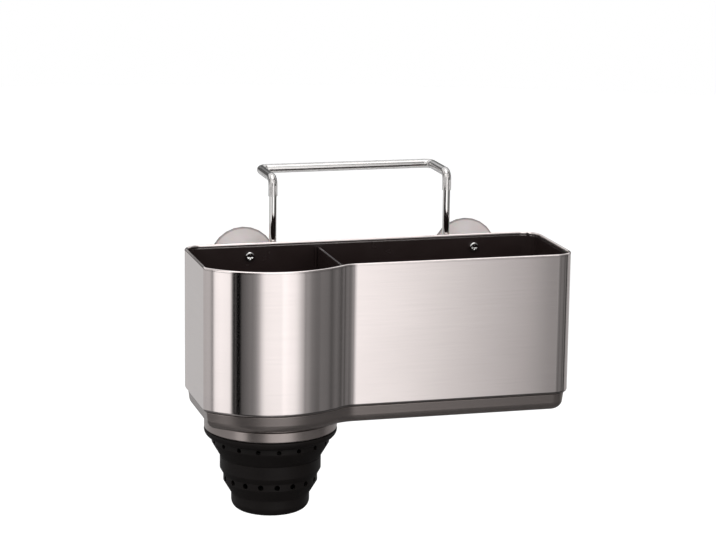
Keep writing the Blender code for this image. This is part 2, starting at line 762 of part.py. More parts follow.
def make_hanger():
    """One bent wire with a sleeve over its bar and arms, and a cap on each leg."""
    wire_end = at_height(LEG_END) + GAP + SHEET
    rings = rings_along(bent_path(hanger_corners(wire_end), BEND_R), WIRE_R, WIRE_STEPS)
    bm = bmesh.new()
    skin(bm, rings, caps=True)
    wire = add_object("hanger_wire", bm, polished())
    sleeve_path = bent_path(hanger_corners(at_height(-SLEEVE_RISE)), BEND_R)
    outside = rings_along(sleeve_path, SLEEVE_R, WIRE_STEPS)
    inside = rings_along(sleeve_path, SLEEVE_BORE_R, WIRE_STEPS)
    bm = bmesh.new()
    skin(bm, outside + inside[::-1], closed=True)
    sleeve = add_object("hanger_sleeve", bm, clear_vinyl())
    caps = []
    for name, x in (("left", -LEG_X), ("right", LEG_X)):
        low, high = at_height(LEG_END), at_height(LEG_END - LEG_CAP_HEIGHT)
        bore = WIRE_R + GAP
        edge = LEG_CAP_R - SHEET
        profile = [
            (edge, low), (LEG_CAP_R, low + SHEET), (LEG_CAP_R, high - SHEET),
            (edge, high), (bore, high), (bore, low + SHEET),
        ]
        place = (x, LEG_Y, 0)
        caps.append(turned("leg_cap_" + name, profile, black_plastic(), place, steps=SMALL_STEPS))
    return [wire, sleeve] + caps


def make_bracket(name, side):
    """A moulded bracket on the rear face: a guide for the wire and a socket for the suction cup."""
    face, back = REAR_Y + GAP, REAR_Y + BRACKET_PLATE
    inner = side * (LEG_X - GUIDE_R - BRACKET_MARGIN)
    outer = side * (SUCTION_X + SOCKET_R + BRACKET_MARGIN)
    low = (min(inner, outer), at_height(BRACKET_END))
    high = (max(inner, outer), at_height(BRACKET_TOP))
    outline = rounded_box(low, high, BRACKET_CORNER_R)
    bracket = plate("bracket_" + name, outline, face, back, grey_plastic(), axis="Y")
    guide = rod(
        "guide_wire_boss", GUIDE_R, low[1] + GAP, high[1] - GAP,
        (side * LEG_X, LEG_Y, 0), steps=2 * SMALL_STEPS,
    )
    join_to(bracket, guide, "UNION")
    centre = (side * SUCTION_X, 0, 0)
    socket_back = REAR_Y + SOCKET_REACH
    socket = rod("guide_socket", SOCKET_R, face + GAP, socket_back, centre, "Y", 2 * SMALL_STEPS)
    join_to(bracket, socket, "UNION")
    wall = socket_back - SOCKET_WALL
    pocket = wall - BUTTON_THICK - 2 * GAP
    profile = [
        (BUTTON_R + GAP, pocket), (BUTTON_R + GAP, wall),
        (NECK_R + GAP, wall), (NECK_R + GAP, socket_back + GAP),
    ]
    join_to(bracket, turned("guide_pocket", profile, None, centre, "Y", SMALL_STEPS), "DIFFERENCE")
    bore = rod(
        "guide_wire_bore", WIRE_R + GAP, low[1] - GAP, high[1] + GAP,
        (side * LEG_X, LEG_Y, 0), steps=SMALL_STEPS,
    )
    join_to(bracket, bore, "DIFFERENCE")
    screw_place = (side * SUCTION_X, 0, at_height(SCREW_DROP))
    hole = rod("guide_screw_bore", SCREW_R + GAP, face - GAP, screw_tip_y() + GAP, screw_place, "Y", SMALL_STEPS)
    join_to(bracket, hole, "DIFFERENCE")
    return bracket


def screw_tip_y():
    """How far back the bracket's screw reaches, inside the bracket's plate."""
    return REAR_Y + BRACKET_PLATE - 2 * GAP


def make_bracket_screw(name, side):
    """A screw with a domed cross head, which shows inside the rear wall."""
    seat = REAR_Y - LINER_IN - GAP
    dome = SCREW_HEAD_HEIGHT / 2
    profile = [
        (SCREW_HEAD_R / 2, seat - SCREW_HEAD_HEIGHT), (SCREW_HEAD_R - dome / 2, seat - dome),
        (SCREW_HEAD_R, seat - dome / 2), (SCREW_HEAD_R, seat), (SCREW_R, seat), (SCREW_R, screw_tip_y()),
    ]
    place = (side * SUCTION_X, 0, at_height(SCREW_DROP))
    screw = turned("bracket_screw_" + name, profile, polished(), place, "Y", SMALL_STEPS)
    reach = RECESS_LENGTH / 2
    half = RECESS_WIDTH / 2
    front = seat - SCREW_HEAD_HEIGHT
    for wide, tall in ((reach, half), (half, reach)):
        outline = box_outline((place[0] - wide, place[2] - tall), (place[0] + wide, place[2] + tall))
        slot = plate("guide_recess", outline, front - GAP, front + RECESS_DEPTH, None, axis="Y")
        join_to(screw, slot, "DIFFERENCE")
    return screw


def make_suction_cup(name, side):
    """A soft cup: flat lip, hollow face, bell, neck and the button that clips into the bracket."""
    socket_back = REAR_Y + SOCKET_REACH
    wall = socket_back - SOCKET_WALL
    bell_back = socket_back + GAP
    button_back = wall - GAP
    lip_in = SUCTION_R - SUCTION_LIP
    bell = -bell_back - SUCTION_EDGE
    profile = []
    for across, along in HOLLOW_SHARES:
        profile.append((across * SUCTION_R, -along * bell))
    profile += [(lip_in, 0), (SUCTION_R, 0)]
    for across, along in BELL_SHARES:
        profile.append((across * SUCTION_R, -SUCTION_EDGE - along * bell))
    profile += [
        (NECK_R, bell_back), (NECK_R, button_back),
        (BUTTON_R, button_back), (BUTTON_R, button_back - BUTTON_THICK),
    ]
    return turned("suction_cup_" + name, profile, suction_vinyl(), (side * SUCTION_X, 0, 0), "Y", 2 * SMALL_STEPS)


def make_base_screws():
    """Four screws with flat heads, sunk in the base from below."""
    head_low = at_height(TRAY_BOTTOM)
    head_top = head_low + BASE_SCREW_HEAD
    tip = at_height(TRAY_FLOOR_TOP) + BASE_SCREW_BITE
    for number, (x, y) in enumerate(boss_places(), 1):
        profile = [
            (BASE_SCREW_HEAD_R, head_low), (BASE_SCREW_HEAD_R, head_top),
            (BASE_SCREW_R, head_top), (BASE_SCREW_R, tip),
        ]
        turned("tray_screw_%d" % number, profile, polished(), (x, y, 0), steps=SMALL_STEPS)


def main():
    clear_scene()
    make_shell()
    make_liner()
    make_divider()
    make_tray()
    make_retainer()
    make_base_screws()
    make_cup_flange()
    make_fold("upper_fold", UPPER_R, UPPER_FOLD_TOP, MIDDLE_R, MIDDLE_TOP)
    cup_axis = add_axis("middle_band_axis", (CUP_X, CUP_Y, at_height(MIDDLE_TOP)))
    lower_fold = make_fold("lower_fold", LOWER_R, LOWER_FOLD_TOP, BASE_R, BASE_TOP)
    hang_on(cup_axis, make_middle_band(), lower_fold)
    base_axis = add_axis("cup_base_axis", (CUP_X, CUP_Y, at_height(BASE_TOP)), cup_axis)
    hang_on(base_axis, make_cup_base())
    hanger_axis = add_axis("hanger_axis", (0, LEG_Y, at_height(BRACKET_TOP)))
    hang_on(hanger_axis, *make_hanger())
    for name, side in (("left", -1), ("right", 1)):
        make_bracket(name, side)
        make_bracket_screw(name, side)
        make_suction_cup(name, side)


main()
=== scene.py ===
"""A steel sink caddy with a fold-up silicone cup, dressed over its packed frame.

Metres, +Z up, front towards -Y. Depths are measured forwards from the shell's rear face, and
heights downwards from the top of its rim, as in the part's source.
"""

import json
import math

import bmesh
import bpy
from bpy.props import FloatProperty, FloatVectorProperty, IntProperty, PointerProperty
from mathutils import Matrix, Vector

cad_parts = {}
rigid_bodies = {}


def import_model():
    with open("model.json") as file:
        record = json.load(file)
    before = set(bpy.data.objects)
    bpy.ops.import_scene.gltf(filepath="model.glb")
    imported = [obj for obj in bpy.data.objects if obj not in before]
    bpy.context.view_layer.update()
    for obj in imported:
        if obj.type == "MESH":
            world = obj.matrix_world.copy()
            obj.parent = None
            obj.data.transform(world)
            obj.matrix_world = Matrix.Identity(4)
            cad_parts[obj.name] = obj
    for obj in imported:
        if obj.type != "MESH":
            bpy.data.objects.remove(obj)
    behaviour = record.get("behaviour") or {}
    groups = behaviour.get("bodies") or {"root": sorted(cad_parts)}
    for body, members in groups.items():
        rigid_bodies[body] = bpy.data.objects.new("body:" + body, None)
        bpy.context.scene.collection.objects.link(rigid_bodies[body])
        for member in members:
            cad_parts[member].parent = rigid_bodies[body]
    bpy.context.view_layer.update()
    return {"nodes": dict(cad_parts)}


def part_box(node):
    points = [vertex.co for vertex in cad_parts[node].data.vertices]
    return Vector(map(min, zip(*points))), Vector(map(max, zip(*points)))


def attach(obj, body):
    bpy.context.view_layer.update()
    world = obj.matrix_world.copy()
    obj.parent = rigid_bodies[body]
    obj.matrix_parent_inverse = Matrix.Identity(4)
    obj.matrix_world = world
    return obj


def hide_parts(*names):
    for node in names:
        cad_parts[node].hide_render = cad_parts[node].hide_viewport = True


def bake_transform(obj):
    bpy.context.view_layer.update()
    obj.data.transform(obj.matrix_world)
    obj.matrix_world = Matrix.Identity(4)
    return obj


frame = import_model()

bl_info = {
    "name": "Sink Caddy Builder",
    "version": (1, 0, 0),
    "blender": (4, 5, 0),
    "location": "3D View > Sidebar > Caddy",
    "description": "Models a steel sink caddy with a fold-up silicone cup over its packed frame",
    "category": "Mesh",
}

# Two points count as one within the first distance, and on copies of the frame's solids within the second
MERGE = 1e-6
COPY_MERGE = 2e-6
# Size of the square that each starting point is merged from
SPECK = 1e-4
# Smallest radius that a corner of the body's plan keeps when it moves inwards
SMALLEST_R = 0.0006
# Faces that meet at a smaller angle are shaded as one round face
SMOOTH_ANGLE = math.radians(32)
# Edges with a larger angle are eased
SHARP_ANGLE = math.radians(50)
# Faces of a copied solid at a smaller angle are one flat face
FLAT_ANGLE = math.radians(0.5)

QUARTER = math.pi / 2

# Facets of a full turn
TOOL_SIDES = 96
RING_SIDES = 128
CUP_SIDES = 108
HOLE_SIDES = 20
SCREW_SIDES = 48
WIRE_SIDES = 28
FLOOR_SIDES = 96
# Facets of each bend of the wire, down each thin web of the cup and down its lip
BEND_STEPS = 12
WEB_STEPS = 14
LIP_STEPS = 4

# Length of the bit that drills the cup's holes
DRILL = 0.008
# The base's slots: their rows, counted in ribs of the liner's floor from its rear, their places along
# a row, and the rounding of their ends as a share of their width
DRAIN_ROWS = (2.5, 3.5)
DRAIN_SHARES = (0, 0.5, 1)
DRAIN_ROUND_SHARE = 0.45

TRAY_SCREWS = ["tray_screw_%d" % number for number in range(1, 5)]
SIDES = ("left", "right")
# The lower end of the wire's legs
LEG_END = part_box("hanger_wire")[0].z


def linear(code):
    """A colour written as sRGB hex, turned to linear light."""
    parts = [int(code[i:i + 2], 16) / 255 for i in (1, 3, 5)]
    return tuple(c / 12.92 if c <= 0.04045 else ((c + 0.055) / 1.055) ** 2.4 for c in parts)


def size(name, default, description):
    """A length that the user may change."""
    return FloatProperty(
        name=name, description=description, default=default, min=0, unit="LENGTH", precision=5,
    )


def count(name, default, description):
    """A whole number that the user may change."""
    return IntProperty(name=name, description=description, default=default, min=1)


def angle(name, degrees, description):
    """An angle that the user may change."""
    return FloatProperty(name=name, description=description, default=math.radians(degrees), subtype="ANGLE")


def colour(name, code, description):
    """A colour that the user may change."""
    return FloatVectorProperty(
        name=name, description=description, default=linear(code), min=0, max=1, size=3, subtype="COLOR",
    )


class CaddyPlan(bpy.types.PropertyGroup):
    """Plan of the body and its place."""
    width: size("Width", 0.2383, "Across the steel shell")
    depth: size("Depth", 0.0775, "Of the straight part, front to rear")
    stand_off: size("Stand-off", 0.018, "From the wall to the shell's rear face")
    rim: size("Rim height", 0.015, "Of the rim above the middle of the suction cups")
    gap: size("Gap", 0.0003, "Left between neighbouring parts")
    bulge_r: size("Bulge radius", 0.0618, "Of the round front over the cup")
    bulge_side: size("Bulge side", 0.0485, "From the left face to the bulge's centre")
    bulge_depth: size("Bulge depth", 0.0307, "From the rear face to the bulge's centre")
    corner_r: size("Corner radius", 0.012, "Of the shell's upright corners")
    crease_r: size("Crease radius", 0.006, "Where the left face turns into the bulge")
    junction_r: size("Junction radius", 0.019, "Of the hollow between bulge and front")
    cup_depth: size("Cup depth", 0.0435, "From the rear face to the cup's centre")


class CaddyShell(bpy.types.PropertyGroup):
    """Steel shell, base and collar."""
    height: size("Shell height", 0.0913, "From the rim to the lower edge of the steel")
    sheet: size("Sheet", 0.0008, "Thickness of the steel")
    bead_r: size("Bead radius", 0.0011, "Of the rolled rim")
    bead_proud: size("Bead proud", 0.00012, "How far the roll stands out of the sheet")
    drawn_in: size("Drawn in", 0.002, "How far the lower edge turns inwards")
    tray_band: size("Base band", 0.0115, "Height of the grey base that shows")
    tray_corner_r: size("Base rounding", 0.0065, "Where the band turns under")
    tray_taper: size("Base taper", 0.0006, "How far the band leans inwards")
    tray_wall: size("Base wall", 0.0016, "Thickness of the base's wall")
    tray_floor: size("Base floor", 0.002, "Thickness of the base's floor")
    ledge_rise: size("Ledge rise", 0.00005, "Slope of the base's ledge under the steel")
    liner_bottom: size("Liner bottom", 0.088, "Of the liner's floor below the rim")
    liner_wall: size("Liner wall", 0.0018, "Thickness of the liner")
    floor_ribs: count("Floor ribs", 5, "Low ribs on the liner's floor")
    drain_length: size("Drain length", 0.014, "Of the slots in the floor")
    drain_width: size("Drain width", 0.003, "Of the slots in the floor")
    collar_r: size("Collar radius", 0.0421, "Of the ring that holds the cup")
    collar_drop: size("Collar drop", 0.0068, "Height of the ring")
    collar_edge: size("Collar edge", 0.0008, "Rounding of the ring's edges")
    spigot_r: size("Spigot radius", 0.0375, "Of the ring's neck inside the base")
    spigot_wall: size("Spigot wall", 0.0015, "Thickness of that neck")
    spigot_rise: size("Spigot rise", 0.0035, "How far the neck stands in the base")
    spout_r: size("Spout radius", 0.0332, "Of the liner's spout, which reaches into the cup")


class CaddyCup(bpy.types.PropertyGroup):
    """Silicone cup. Its heights are drops below the rim."""
    wall: size("Wall", 0.0018, "Thickness of the silicone")
    fold_wall: size("Fold wall", 0.0012, "Thickness where it turns over")
    lip_r: size("Lip radius", 0.0422, "Of the fat lip under the collar")
    upper_r: size("Upper radius", 0.0373, "Of the upper band")
    middle_r: size("Middle radius", 0.0321, "Of the middle band")
    lower_r: size("Lower radius", 0.0299, "Of the lower hole band")
    base_r: size("Base radius", 0.0249, "Of the closed bottom")
    lip_end: size("Lip end", 0.1105, "Where the lip starts to round in")
    fold_lead: size("Fold lead", 0.0006, "Height in which the wall thins above the upper fold")
    upper_fold: size("Upper fold", 0.1190, "Where the upper fold starts")
    middle_top: size("Middle top", 0.1279, "Where the upper fold ends")
    step_top: size("Step top", 0.1366, "Where the middle band narrows")
    step_end: size("Step end", 0.1400, "Where the lower hole band starts")
    lower_fold: size("Lower fold", 0.1444, "Where the lower fold starts")
    base_top: size("Base top", 0.1527, "Where the lower fold ends")
    bottom: size("Bottom", 0.1631, "Of the cup")
    corner_r: size("Corner radius", 0.006, "Of the bottom's edge")
    upper_hole_r: size("Upper hole", 0.0015, "Radius of the upper drain holes")
    lower_hole_r: size("Lower hole", 0.0018, "Radius of the lower drain holes")
    holes: count("Holes", 18, "Drain holes in each row")
    first_hole: angle("First hole", 5, "Turn of each row's first hole from the right")


class CaddyHanger(bpy.types.PropertyGroup):
    """Wire loop and rear fittings."""
    wire_r: size("Wire radius", 0.0024, "Of the bent wire")
    sleeve_r: size("Sleeve radius", 0.0030, "Of the soft sleeve")
    sleeve_bore_r: size("Sleeve bore", 0.0026, "Inside radius of the sleeve")
    leg_spacing: size("Leg spacing", 0.1167, "Between the two legs")
    leg_back: size("Leg back", 0.0045, "From the shell's rear face to the legs")
    arm: size("Arm", 0.0368, "How far the loop reaches back")
    rise: size("Rise", 0.0403, "Of the loop above the rim")
    bend_r: size("Bend radius", 0.005, "Of the wire's bends")
    sleeve_rise: size("Sleeve rise", 0.0289, "Where the sleeve ends above the rim")
    screw_r: size("Screw radius", 0.0015, "Of the wall screws")
    screw_head: size("Screw head", 0.0018, "Height of the wall screws' heads")
    screw_edge: size("Screw edge", 0.0007, "Rounding of the wall screws' heads")
    recess_depth: size("Recess depth", 0.0004, "Of the cross in the head")
    recess_length: size("Recess length", 0.0032, "Of each arm of the cross in the head")
    recess_width: size("Recess width", 0.0007, "Of each arm of the cross in the head")


class CaddyEdges(bpy.types.PropertyGroup):
    """How far edges are eased."""
    liner: size("Liner", 0.0003, "Of the black bucket")
    divider: size("Divider", 0.0006, "Of the panel between the compartments")
    screw: size("Screws", 0.0002, "Of the base's screws")
    cap: size("Leg caps", 0.0002, "Of the caps on the wire")
    bracket: size("Brackets", 0.0004, "Of the wall brackets")
    suction: size("Suction cups", 0.0003, "Of their lips and sockets")
    wire: size("Wire ends", 0.0005, "Of the wire's two ends")
    band: size("Cup band", 0.0004, "Of the cup's middle band")


class CaddyColours(bpy.types.PropertyGroup):
    """Colours of the finishes."""
    steel: colour("Brushed steel", "#DDD4D2", "Sheet of the shell")
    wire: colour("Polished steel", "#E6E4E2", "Wire and screws")
    base: colour("Grey plastic", "#958C89", "Base, collar and brackets")
    liner: colour("Black plastic", "#2A2120", "Liner, divider and caps")
    silicone: colour("Silicone", "#120E0D", "Fold-up cup")
    sleeve: colour("Sleeve", "#FDFCFC", "Soft sleeve on the wire")
    suction: colour("Suction cups", "#F1ECEB", "Soft vinyl")
    floor: colour("Floor", "#F2F2F2", "Floor of the studio")


class CaddyCamera(bpy.types.PropertyGroup):
    """Where the camera stands and how it looks."""
    place: FloatVectorProperty(
        name="Place", description="Of the camera", subtype="TRANSLATION",
        default=(-0.41735, -1.50841, 0.32679),
    )
    yaw: angle("Yaw", 15.561, "Turn to the right")
    pitch: angle("Pitch", 12.149, "Downwards")
    roll: angle("Roll", 0.7377, "Of the image")
    lens: FloatProperty(name="Lens", description="Focal length in millimetres", default=122.41, min=1)


def plan_settings():
    """The settings of the body's plan and place, as they stand."""
    return bpy.context.scene.caddy_plan


def at_height(drop):
    """The world height of a point that lies this far below the rim."""
    return plan_settings().rim - drop


def at_depth(depth):
    """The world Y of a point that lies this far in front of the rear face."""
    return -plan_settings().stand_off - depth


def cup_centre():
    """Where the cup's axis stands in the plan."""
    plan = plan_settings()
    return Vector((plan.bulge_side - plan.width / 2, at_depth(plan.cup_depth), 0))


def divider_x():
    """Where the bulge's circle meets the front face, with the divider behind it."""
    plan = plan_settings()
    middle = plan.bulge_side - plan.width / 2
    return middle + math.sqrt(plan.bulge_r ** 2 - (plan.depth - plan.bulge_depth) ** 2)


# Modelling steps


def deselect_everything():
    """Ends edit mode and clears the selection, which the frame leaves full."""
    if bpy.context.mode != "OBJECT":
        bpy.ops.object.mode_set(mode="OBJECT")
    bpy.ops.object.select_all(action="DESELECT")


def begin_piece(name):
    """Names the primitive just added, fixes its place in its mesh and opens it."""
    piece = bpy.context.object
    piece.name = piece.data.name = name
    bpy.ops.object.transform_apply(location=True, rotation=True, scale=True)
    bpy.ops.object.mode_set(mode="EDIT")
    bpy.ops.mesh.select_mode(type="VERT")
    return piece


def point_piece(name, place):
    """A new piece that is one point so far: a small square merged to its middle."""
    deselect_everything()
    bpy.ops.mesh.primitive_plane_add(size=SPECK, location=place)
    piece = begin_piece(name)
    bpy.ops.mesh.merge(type="CENTER")
    return piece


def another_point(place):
    """One more loose point in the open piece, alone selected."""
    bpy.ops.mesh.primitive_plane_add(size=SPECK, location=place)
    bpy.ops.mesh.merge(type="CENTER")


def pull(step):
    """Extrudes what is selected along a step."""
    bpy.ops.mesh.extrude_region_move(TRANSFORM_OT_translate={"value": step})


def sweep(centre, axis, turn, steps):
    """Extrudes what is selected round an axis. With no window, spin turns the other way."""
    bpy.ops.mesh.spin(steps=steps, angle=-turn, center=centre, axis=axis)


def place_key(place):
    """A place rounded to a micrometre, to find it again."""
    return tuple(round(c * 1e6) for c in place)


def select_places(piece, keys):
    """Selects the points of the open piece that lie at these places."""
    bm = bmesh.from_edit_mesh(piece.data)
    bpy.ops.mesh.select_all(action="DESELECT")
    for point in bm.verts:
        if place_key(point.co) in keys:
            point.select_set(True)
    bm.select_flush_mode()
    bmesh.update_edit_mesh(piece.data)


def close_piece(piece):
    """Merges doubled points, turns the faces outwards and ends edit mode."""
    bpy.ops.mesh.select_all(action="SELECT")
    bpy.ops.mesh.remove_doubles(threshold=MERGE)
    bpy.ops.mesh.normals_make_consistent(inside=False)
    bpy.ops.object.mode_set(mode="OBJECT")
    return piece


def shade(piece):
    """Smooth round faces beside flat ones that stay flat."""
    deselect_everything()
    piece.select_set(True)
    bpy.context.view_layer.objects.active = piece
    bpy.ops.object.shade_smooth_by_angle(angle=SMOOTH_ANGLE)
    add_step(piece, "WEIGHTED_NORMAL", keep_sharp=True, weight=100)


def add_step(piece, kind, **settings):
    """Adds a modifier, sets it and applies it."""
    step = piece.modifiers.new(kind.lower(), kind)
    for name, value in settings.items():
        setattr(step, name, value)
    bpy.context.view_layer.objects.active = piece
    bpy.ops.object.modifier_apply(modifier=step.name)


def ease_edges(piece, width, segments):
    """Rounds the sharp edges of a piece."""
    add_step(piece, "BEVEL", width=width, segments=segments, limit_method="ANGLE", angle_limit=SHARP_ANGLE)


def as_tool():
    """Fixes the primitive just added in its mesh, to cut with or to join on."""
    bpy.ops.object.transform_apply(location=True, rotation=True, scale=True)
    return bpy.context.object


def round_tool(radius, low, high, centre):
    """A round bar between two drops below the rim."""
    place = centre + Vector((0, 0, at_height((low + high) / 2)))
    deselect_everything()
    bpy.ops.mesh.primitive_cylinder_add(vertices=TOOL_SIDES, radius=radius, depth=low - high, location=place)
    return as_tool()


def box_tool(place, sides):
    """A box round a place."""
    deselect_everything()
    bpy.ops.mesh.primitive_cube_add(size=1, location=place, scale=sides)
    return as_tool()


def cut(piece, tool, operation="DIFFERENCE"):
    """Cuts a piece with a tool, or joins the tool on. The tool is then removed."""
    add_step(piece, "BOOLEAN", object=tool, operation=operation, solver="EXACT")
    bpy.data.objects.remove(tool)


def arc(centre, radius, start, end, steps):
    """Places along an arc, both ends included, in the plane of radius and height."""
    places = []
    for step in range(steps + 1):
        turn = start + (end - start) * step / steps
        places.append((centre[0] + radius * math.cos(turn), centre[1] + radius * math.sin(turn)))
    return places


def drops(places):
    """Places in a section with drops below the rim in place of heights."""
    return [(across, -height) for across, height in places]


def turned_piece(name, section, centre, steps, axis="Z"):
    """A round piece: its section of radii and heights is drawn and spun once round the axis."""
    along = {"Z": Vector((0, 0, 1)), "Y": Vector((0, 1, 0))}[axis]
    out = Vector((1, 0, 0))
    places = [Vector(centre) + out * radius + along * height for radius, height in section]
    piece = point_piece(name, places[0])
    for before, after in zip(places, places[1:]):
        pull(after - before)
    bpy.ops.mesh.select_all(action="SELECT")
    sweep(centre, along, 4 * QUARTER, steps)
    close_piece(piece)
    shade(piece)
    return piece


# The body's plan


def plan_arcs(inset):
    """The arcs of the body's plan moved inwards: centre, radius, first and last turn, steps."""
    plan = plan_settings()
    left, right = -plan.width / 2 + inset, plan.width / 2 - inset
    rear, front = at_depth(0) - inset, at_depth(plan.depth) + inset
    corner = max(plan.corner_r - inset, SMALLEST_R)
    crease = max(plan.crease_r - inset, SMALLEST_R)
    junction = plan.junction_r + inset
    bulge = plan.bulge_r - inset
    middle = Vector((plan.bulge_side - plan.width / 2, at_depth(plan.bulge_depth)))
    crease_x = left + crease
    crease_y = middle.y - math.sqrt((bulge - crease) ** 2 - (crease_x - middle.x) ** 2)
    crease_turn = math.atan2(crease_y - middle.y, crease_x - middle.x) + 4 * QUARTER
    junction_y = front - junction
    junction_x = middle.x + math.sqrt((bulge + junction) ** 2 - (junction_y - middle.y) ** 2)
    junction_turn = math.atan2(junction_y - middle.y, junction_x - middle.x) + 4 * QUARTER
    corner_steps, crease_steps, bulge_steps, junction_steps = 10, 8, 72, 12
    return [
        ((left + corner, rear - corner), corner, QUARTER, math.pi, corner_steps),
        ((crease_x, crease_y), crease, math.pi, crease_turn, crease_steps),
        (middle, bulge, crease_turn, junction_turn, bulge_steps),
        ((junction_x, junction_y), junction, junction_turn - math.pi, QUARTER, junction_steps),
        ((right - corner, front + corner), corner, 3 * QUARTER, 4 * QUARTER, corner_steps),
        ((right - corner, rear - corner), corner, 0, QUARTER, corner_steps),
    ]


def on_circle(centre, radius, turn, height):
    """A place on a level circle."""
    return Vector((centre[0] + radius * math.cos(turn), centre[1] + radius * math.sin(turn), height))


def trace_plan(inset, height):
    """Draws the body's plan at an inset and a height as one closed loop, by spins and pulls."""
    first = here = None
    for centre, radius, start, end, steps in plan_arcs(inset):
        begin = on_circle(centre, radius, start, height)
        if first is None:
            first = begin
        elif (begin - here).length > MERGE:
            pull(begin - here)
        sweep((centre[0], centre[1], height), (0, 0, 1), end - start, steps)
        here = on_circle(centre, radius, end, height)
    pull(first - here)
    bpy.ops.mesh.select_linked()
    bpy.ops.mesh.remove_doubles(threshold=MERGE)


def wrapped_piece(name, section, closed=True):
    """A wall round the body's plan. Each pair of its section is an inset and a drop below the rim."""
    piece = None
    loops = []
    for inset, drop in section:
        height = at_height(drop)
        centre, radius, start = plan_arcs(inset)[0][:3]
        place = on_circle(centre, radius, start, height)
        if piece is None:
            piece = point_piece(name, place)
        else:
            another_point(place)
        trace_plan(inset, height)
        bm = bmesh.from_edit_mesh(piece.data)
        loops.append({place_key(v.co) for v in bm.verts if v.select})
    pairs = list(zip(loops, loops[1:]))
    if closed:
        pairs.append((loops[-1], loops[0]))
    for one, other in pairs:
        select_places(piece, one | other)
        bpy.ops.mesh.bridge_edge_loops()
    if not closed:
        for loop in (loops[0], loops[-1]):
            select_places(piece, loop)
            bpy.ops.mesh.edge_face_add()
    return close_piece(piece)


# Finishes


def node(tree, kind, inputs=None, **settings):
    """Adds a node. Each input takes a socket, which is linked, or a plain value."""
    made = tree.nodes.new(kind)
    for name, value in settings.items():
        setattr(made, name, value)
    for key, value in (inputs or {}).items():
        if isinstance(value, bpy.types.NodeSocket):
            tree.links.new(value, made.inputs[key])
        else:
            made.inputs[key].default_value = value
    return made


def new_finish(name, **sockets):
    """A material and its node tree, whose shader keeps one value on each socket given here."""
    made = bpy.data.materials.new(name)
    made.use_nodes = True
    tree = made.node_tree
    for key, value in sockets.items():
        tree.nodes["Principled BSDF"].inputs[key.replace("_", " ")].default_value = value
    return made, tree


def pattern(tree, cells, detail=3, roughness=0.5):
    """Noise on the piece's own place. Its cells' size is given along X, Y and Z in millimetres."""
    where = node(tree, "ShaderNodeTexCoord").outputs["Object"]
    placed = node(tree, "ShaderNodeMapping", {"Vector": where, "Scale": [1000 / cell for cell in cells]})
    return node(tree, "ShaderNodeTexNoise", {
        "Vector": placed.outputs[0], "Scale": 1.0, "Detail": detail, "Roughness": roughness,
    }).outputs["Fac"]


def vary(tree, name, shade, gloss=None, relief=None):
    """Lets patterns vary a finish of a named colour. Each group of three starts with a pattern.

    Shade goes on with the darkest and lightest share of the colour, gloss with the least and greatest
    roughness, and relief with its strength and its height. Returns the varied colour.
    """
    sockets = tree.nodes["Principled BSDF"].inputs
    base = getattr(bpy.context.scene.caddy_colours, name)
    value, dark, light = shade
    tone = node(tree, "ShaderNodeMix", {
        "Factor": value,
        "A": (*[c * dark for c in base], 1),
        "B": (*[min(c * light, 1) for c in base], 1),
    }, data_type="RGBA").outputs[2]
    tree.links.new(tone, sockets["Base Color"])
    if gloss:
        value, low, high = gloss
        # Noise hardly leaves the range from 0.3 to 0.7
        rough = node(tree, "ShaderNodeMapRange", {
            "Value": value, "From Min": 0.3, "From Max": 0.7, "To Min": low, "To Max": high,
        }).outputs["Result"]
        tree.links.new(rough, sockets["Roughness"])
    if relief:
        value, strength, height = relief
        raised = node(tree, "ShaderNodeBump", {"Height": value, "Strength": strength, "Distance": height})
        tree.links.new(raised.outputs["Normal"], sockets["Normal"])
    return tone


def brushed_steel():
    """304 stainless sheet, belt-brushed level round the body: reflections smear up and down."""
    made, tree = new_finish("stainless_304_brushed", Metallic=1, Anisotropic=1, Anisotropic_Rotation=0.25)
    # The belt's lines lie 0.1 mm apart on the real sheet and are drawn 1 mm apart, 50 mm long, to show
    lines = pattern(tree, (50, 50, 1), detail=4, roughness=0.7)
    # Slow change of the finish, about 50 mm across
    clouds = pattern(tree, (55, 55, 33), detail=2)
    both = node(tree, "ShaderNodeMath", {0: lines, 1: clouds}, operation="ADD").outputs[0]
    mean = node(tree, "ShaderNodeMath", {0: both, 1: 0.5}, operation="MULTIPLY").outputs[0]
    vary(tree, "steel", (lines, 0.9, 1.07), (mean, 0.12, 0.18))
    return made


def polished_steel():
    """302 stainless wire, drawn and electropolished: a mirror with faint lengthwise waves."""
    made, tree = new_finish("stainless_302_polished", Metallic=1)
    waves = pattern(tree, (8, 8, 8), detail=2)
    vary(tree, "wire", (waves, 0.95, 1.02), (waves, 0.03, 0.08))
    return made


def grey_abs():
    """ABS moulded with silver-grey metallic pigment: satin, with broad bright highlights."""
    made, tree = new_finish("abs_grey_metallic_moulded", Metallic=0.85, IOR=1.54)
    flow = pattern(tree, (45, 45, 22))
    # Flakes of 0.05 mm, drawn ten times as large
    flakes = pattern(tree, (0.5, 0.5, 0.5), detail=2)
    vary(tree, "base", (flow, 0.94, 1.05), (flakes, 0.24, 0.27), (flow, 0.1, 0.0001))
    return made


def black_polypropylene():
    """Black polypropylene moulded glossy: near black with a clear sheen and slight sink waves."""
    made, tree = new_finish("polypropylene_black_gloss", Metallic=0, IOR=1.49)
    waves = pattern(tree, (28, 28, 28), detail=2)
    flow = pattern(tree, (16, 16, 11))
    vary(tree, "liner", (flow, 0.9, 1.12), (flow, 0.20, 0.28), (waves, 0.2, 0.0002))
    return made


def black_vinyl():
    """Black PVC, dipped on: soft, with a low satin sheen."""
    made, tree = new_finish("pvc_black_dipped", Metallic=0, IOR=1.53)
    flow = pattern(tree, (5, 5, 5), detail=2)
    vary(tree, "liner", (flow, 0.85, 1.2), (flow, 0.38, 0.48), (flow, 0.1, 0.0001))
    return made


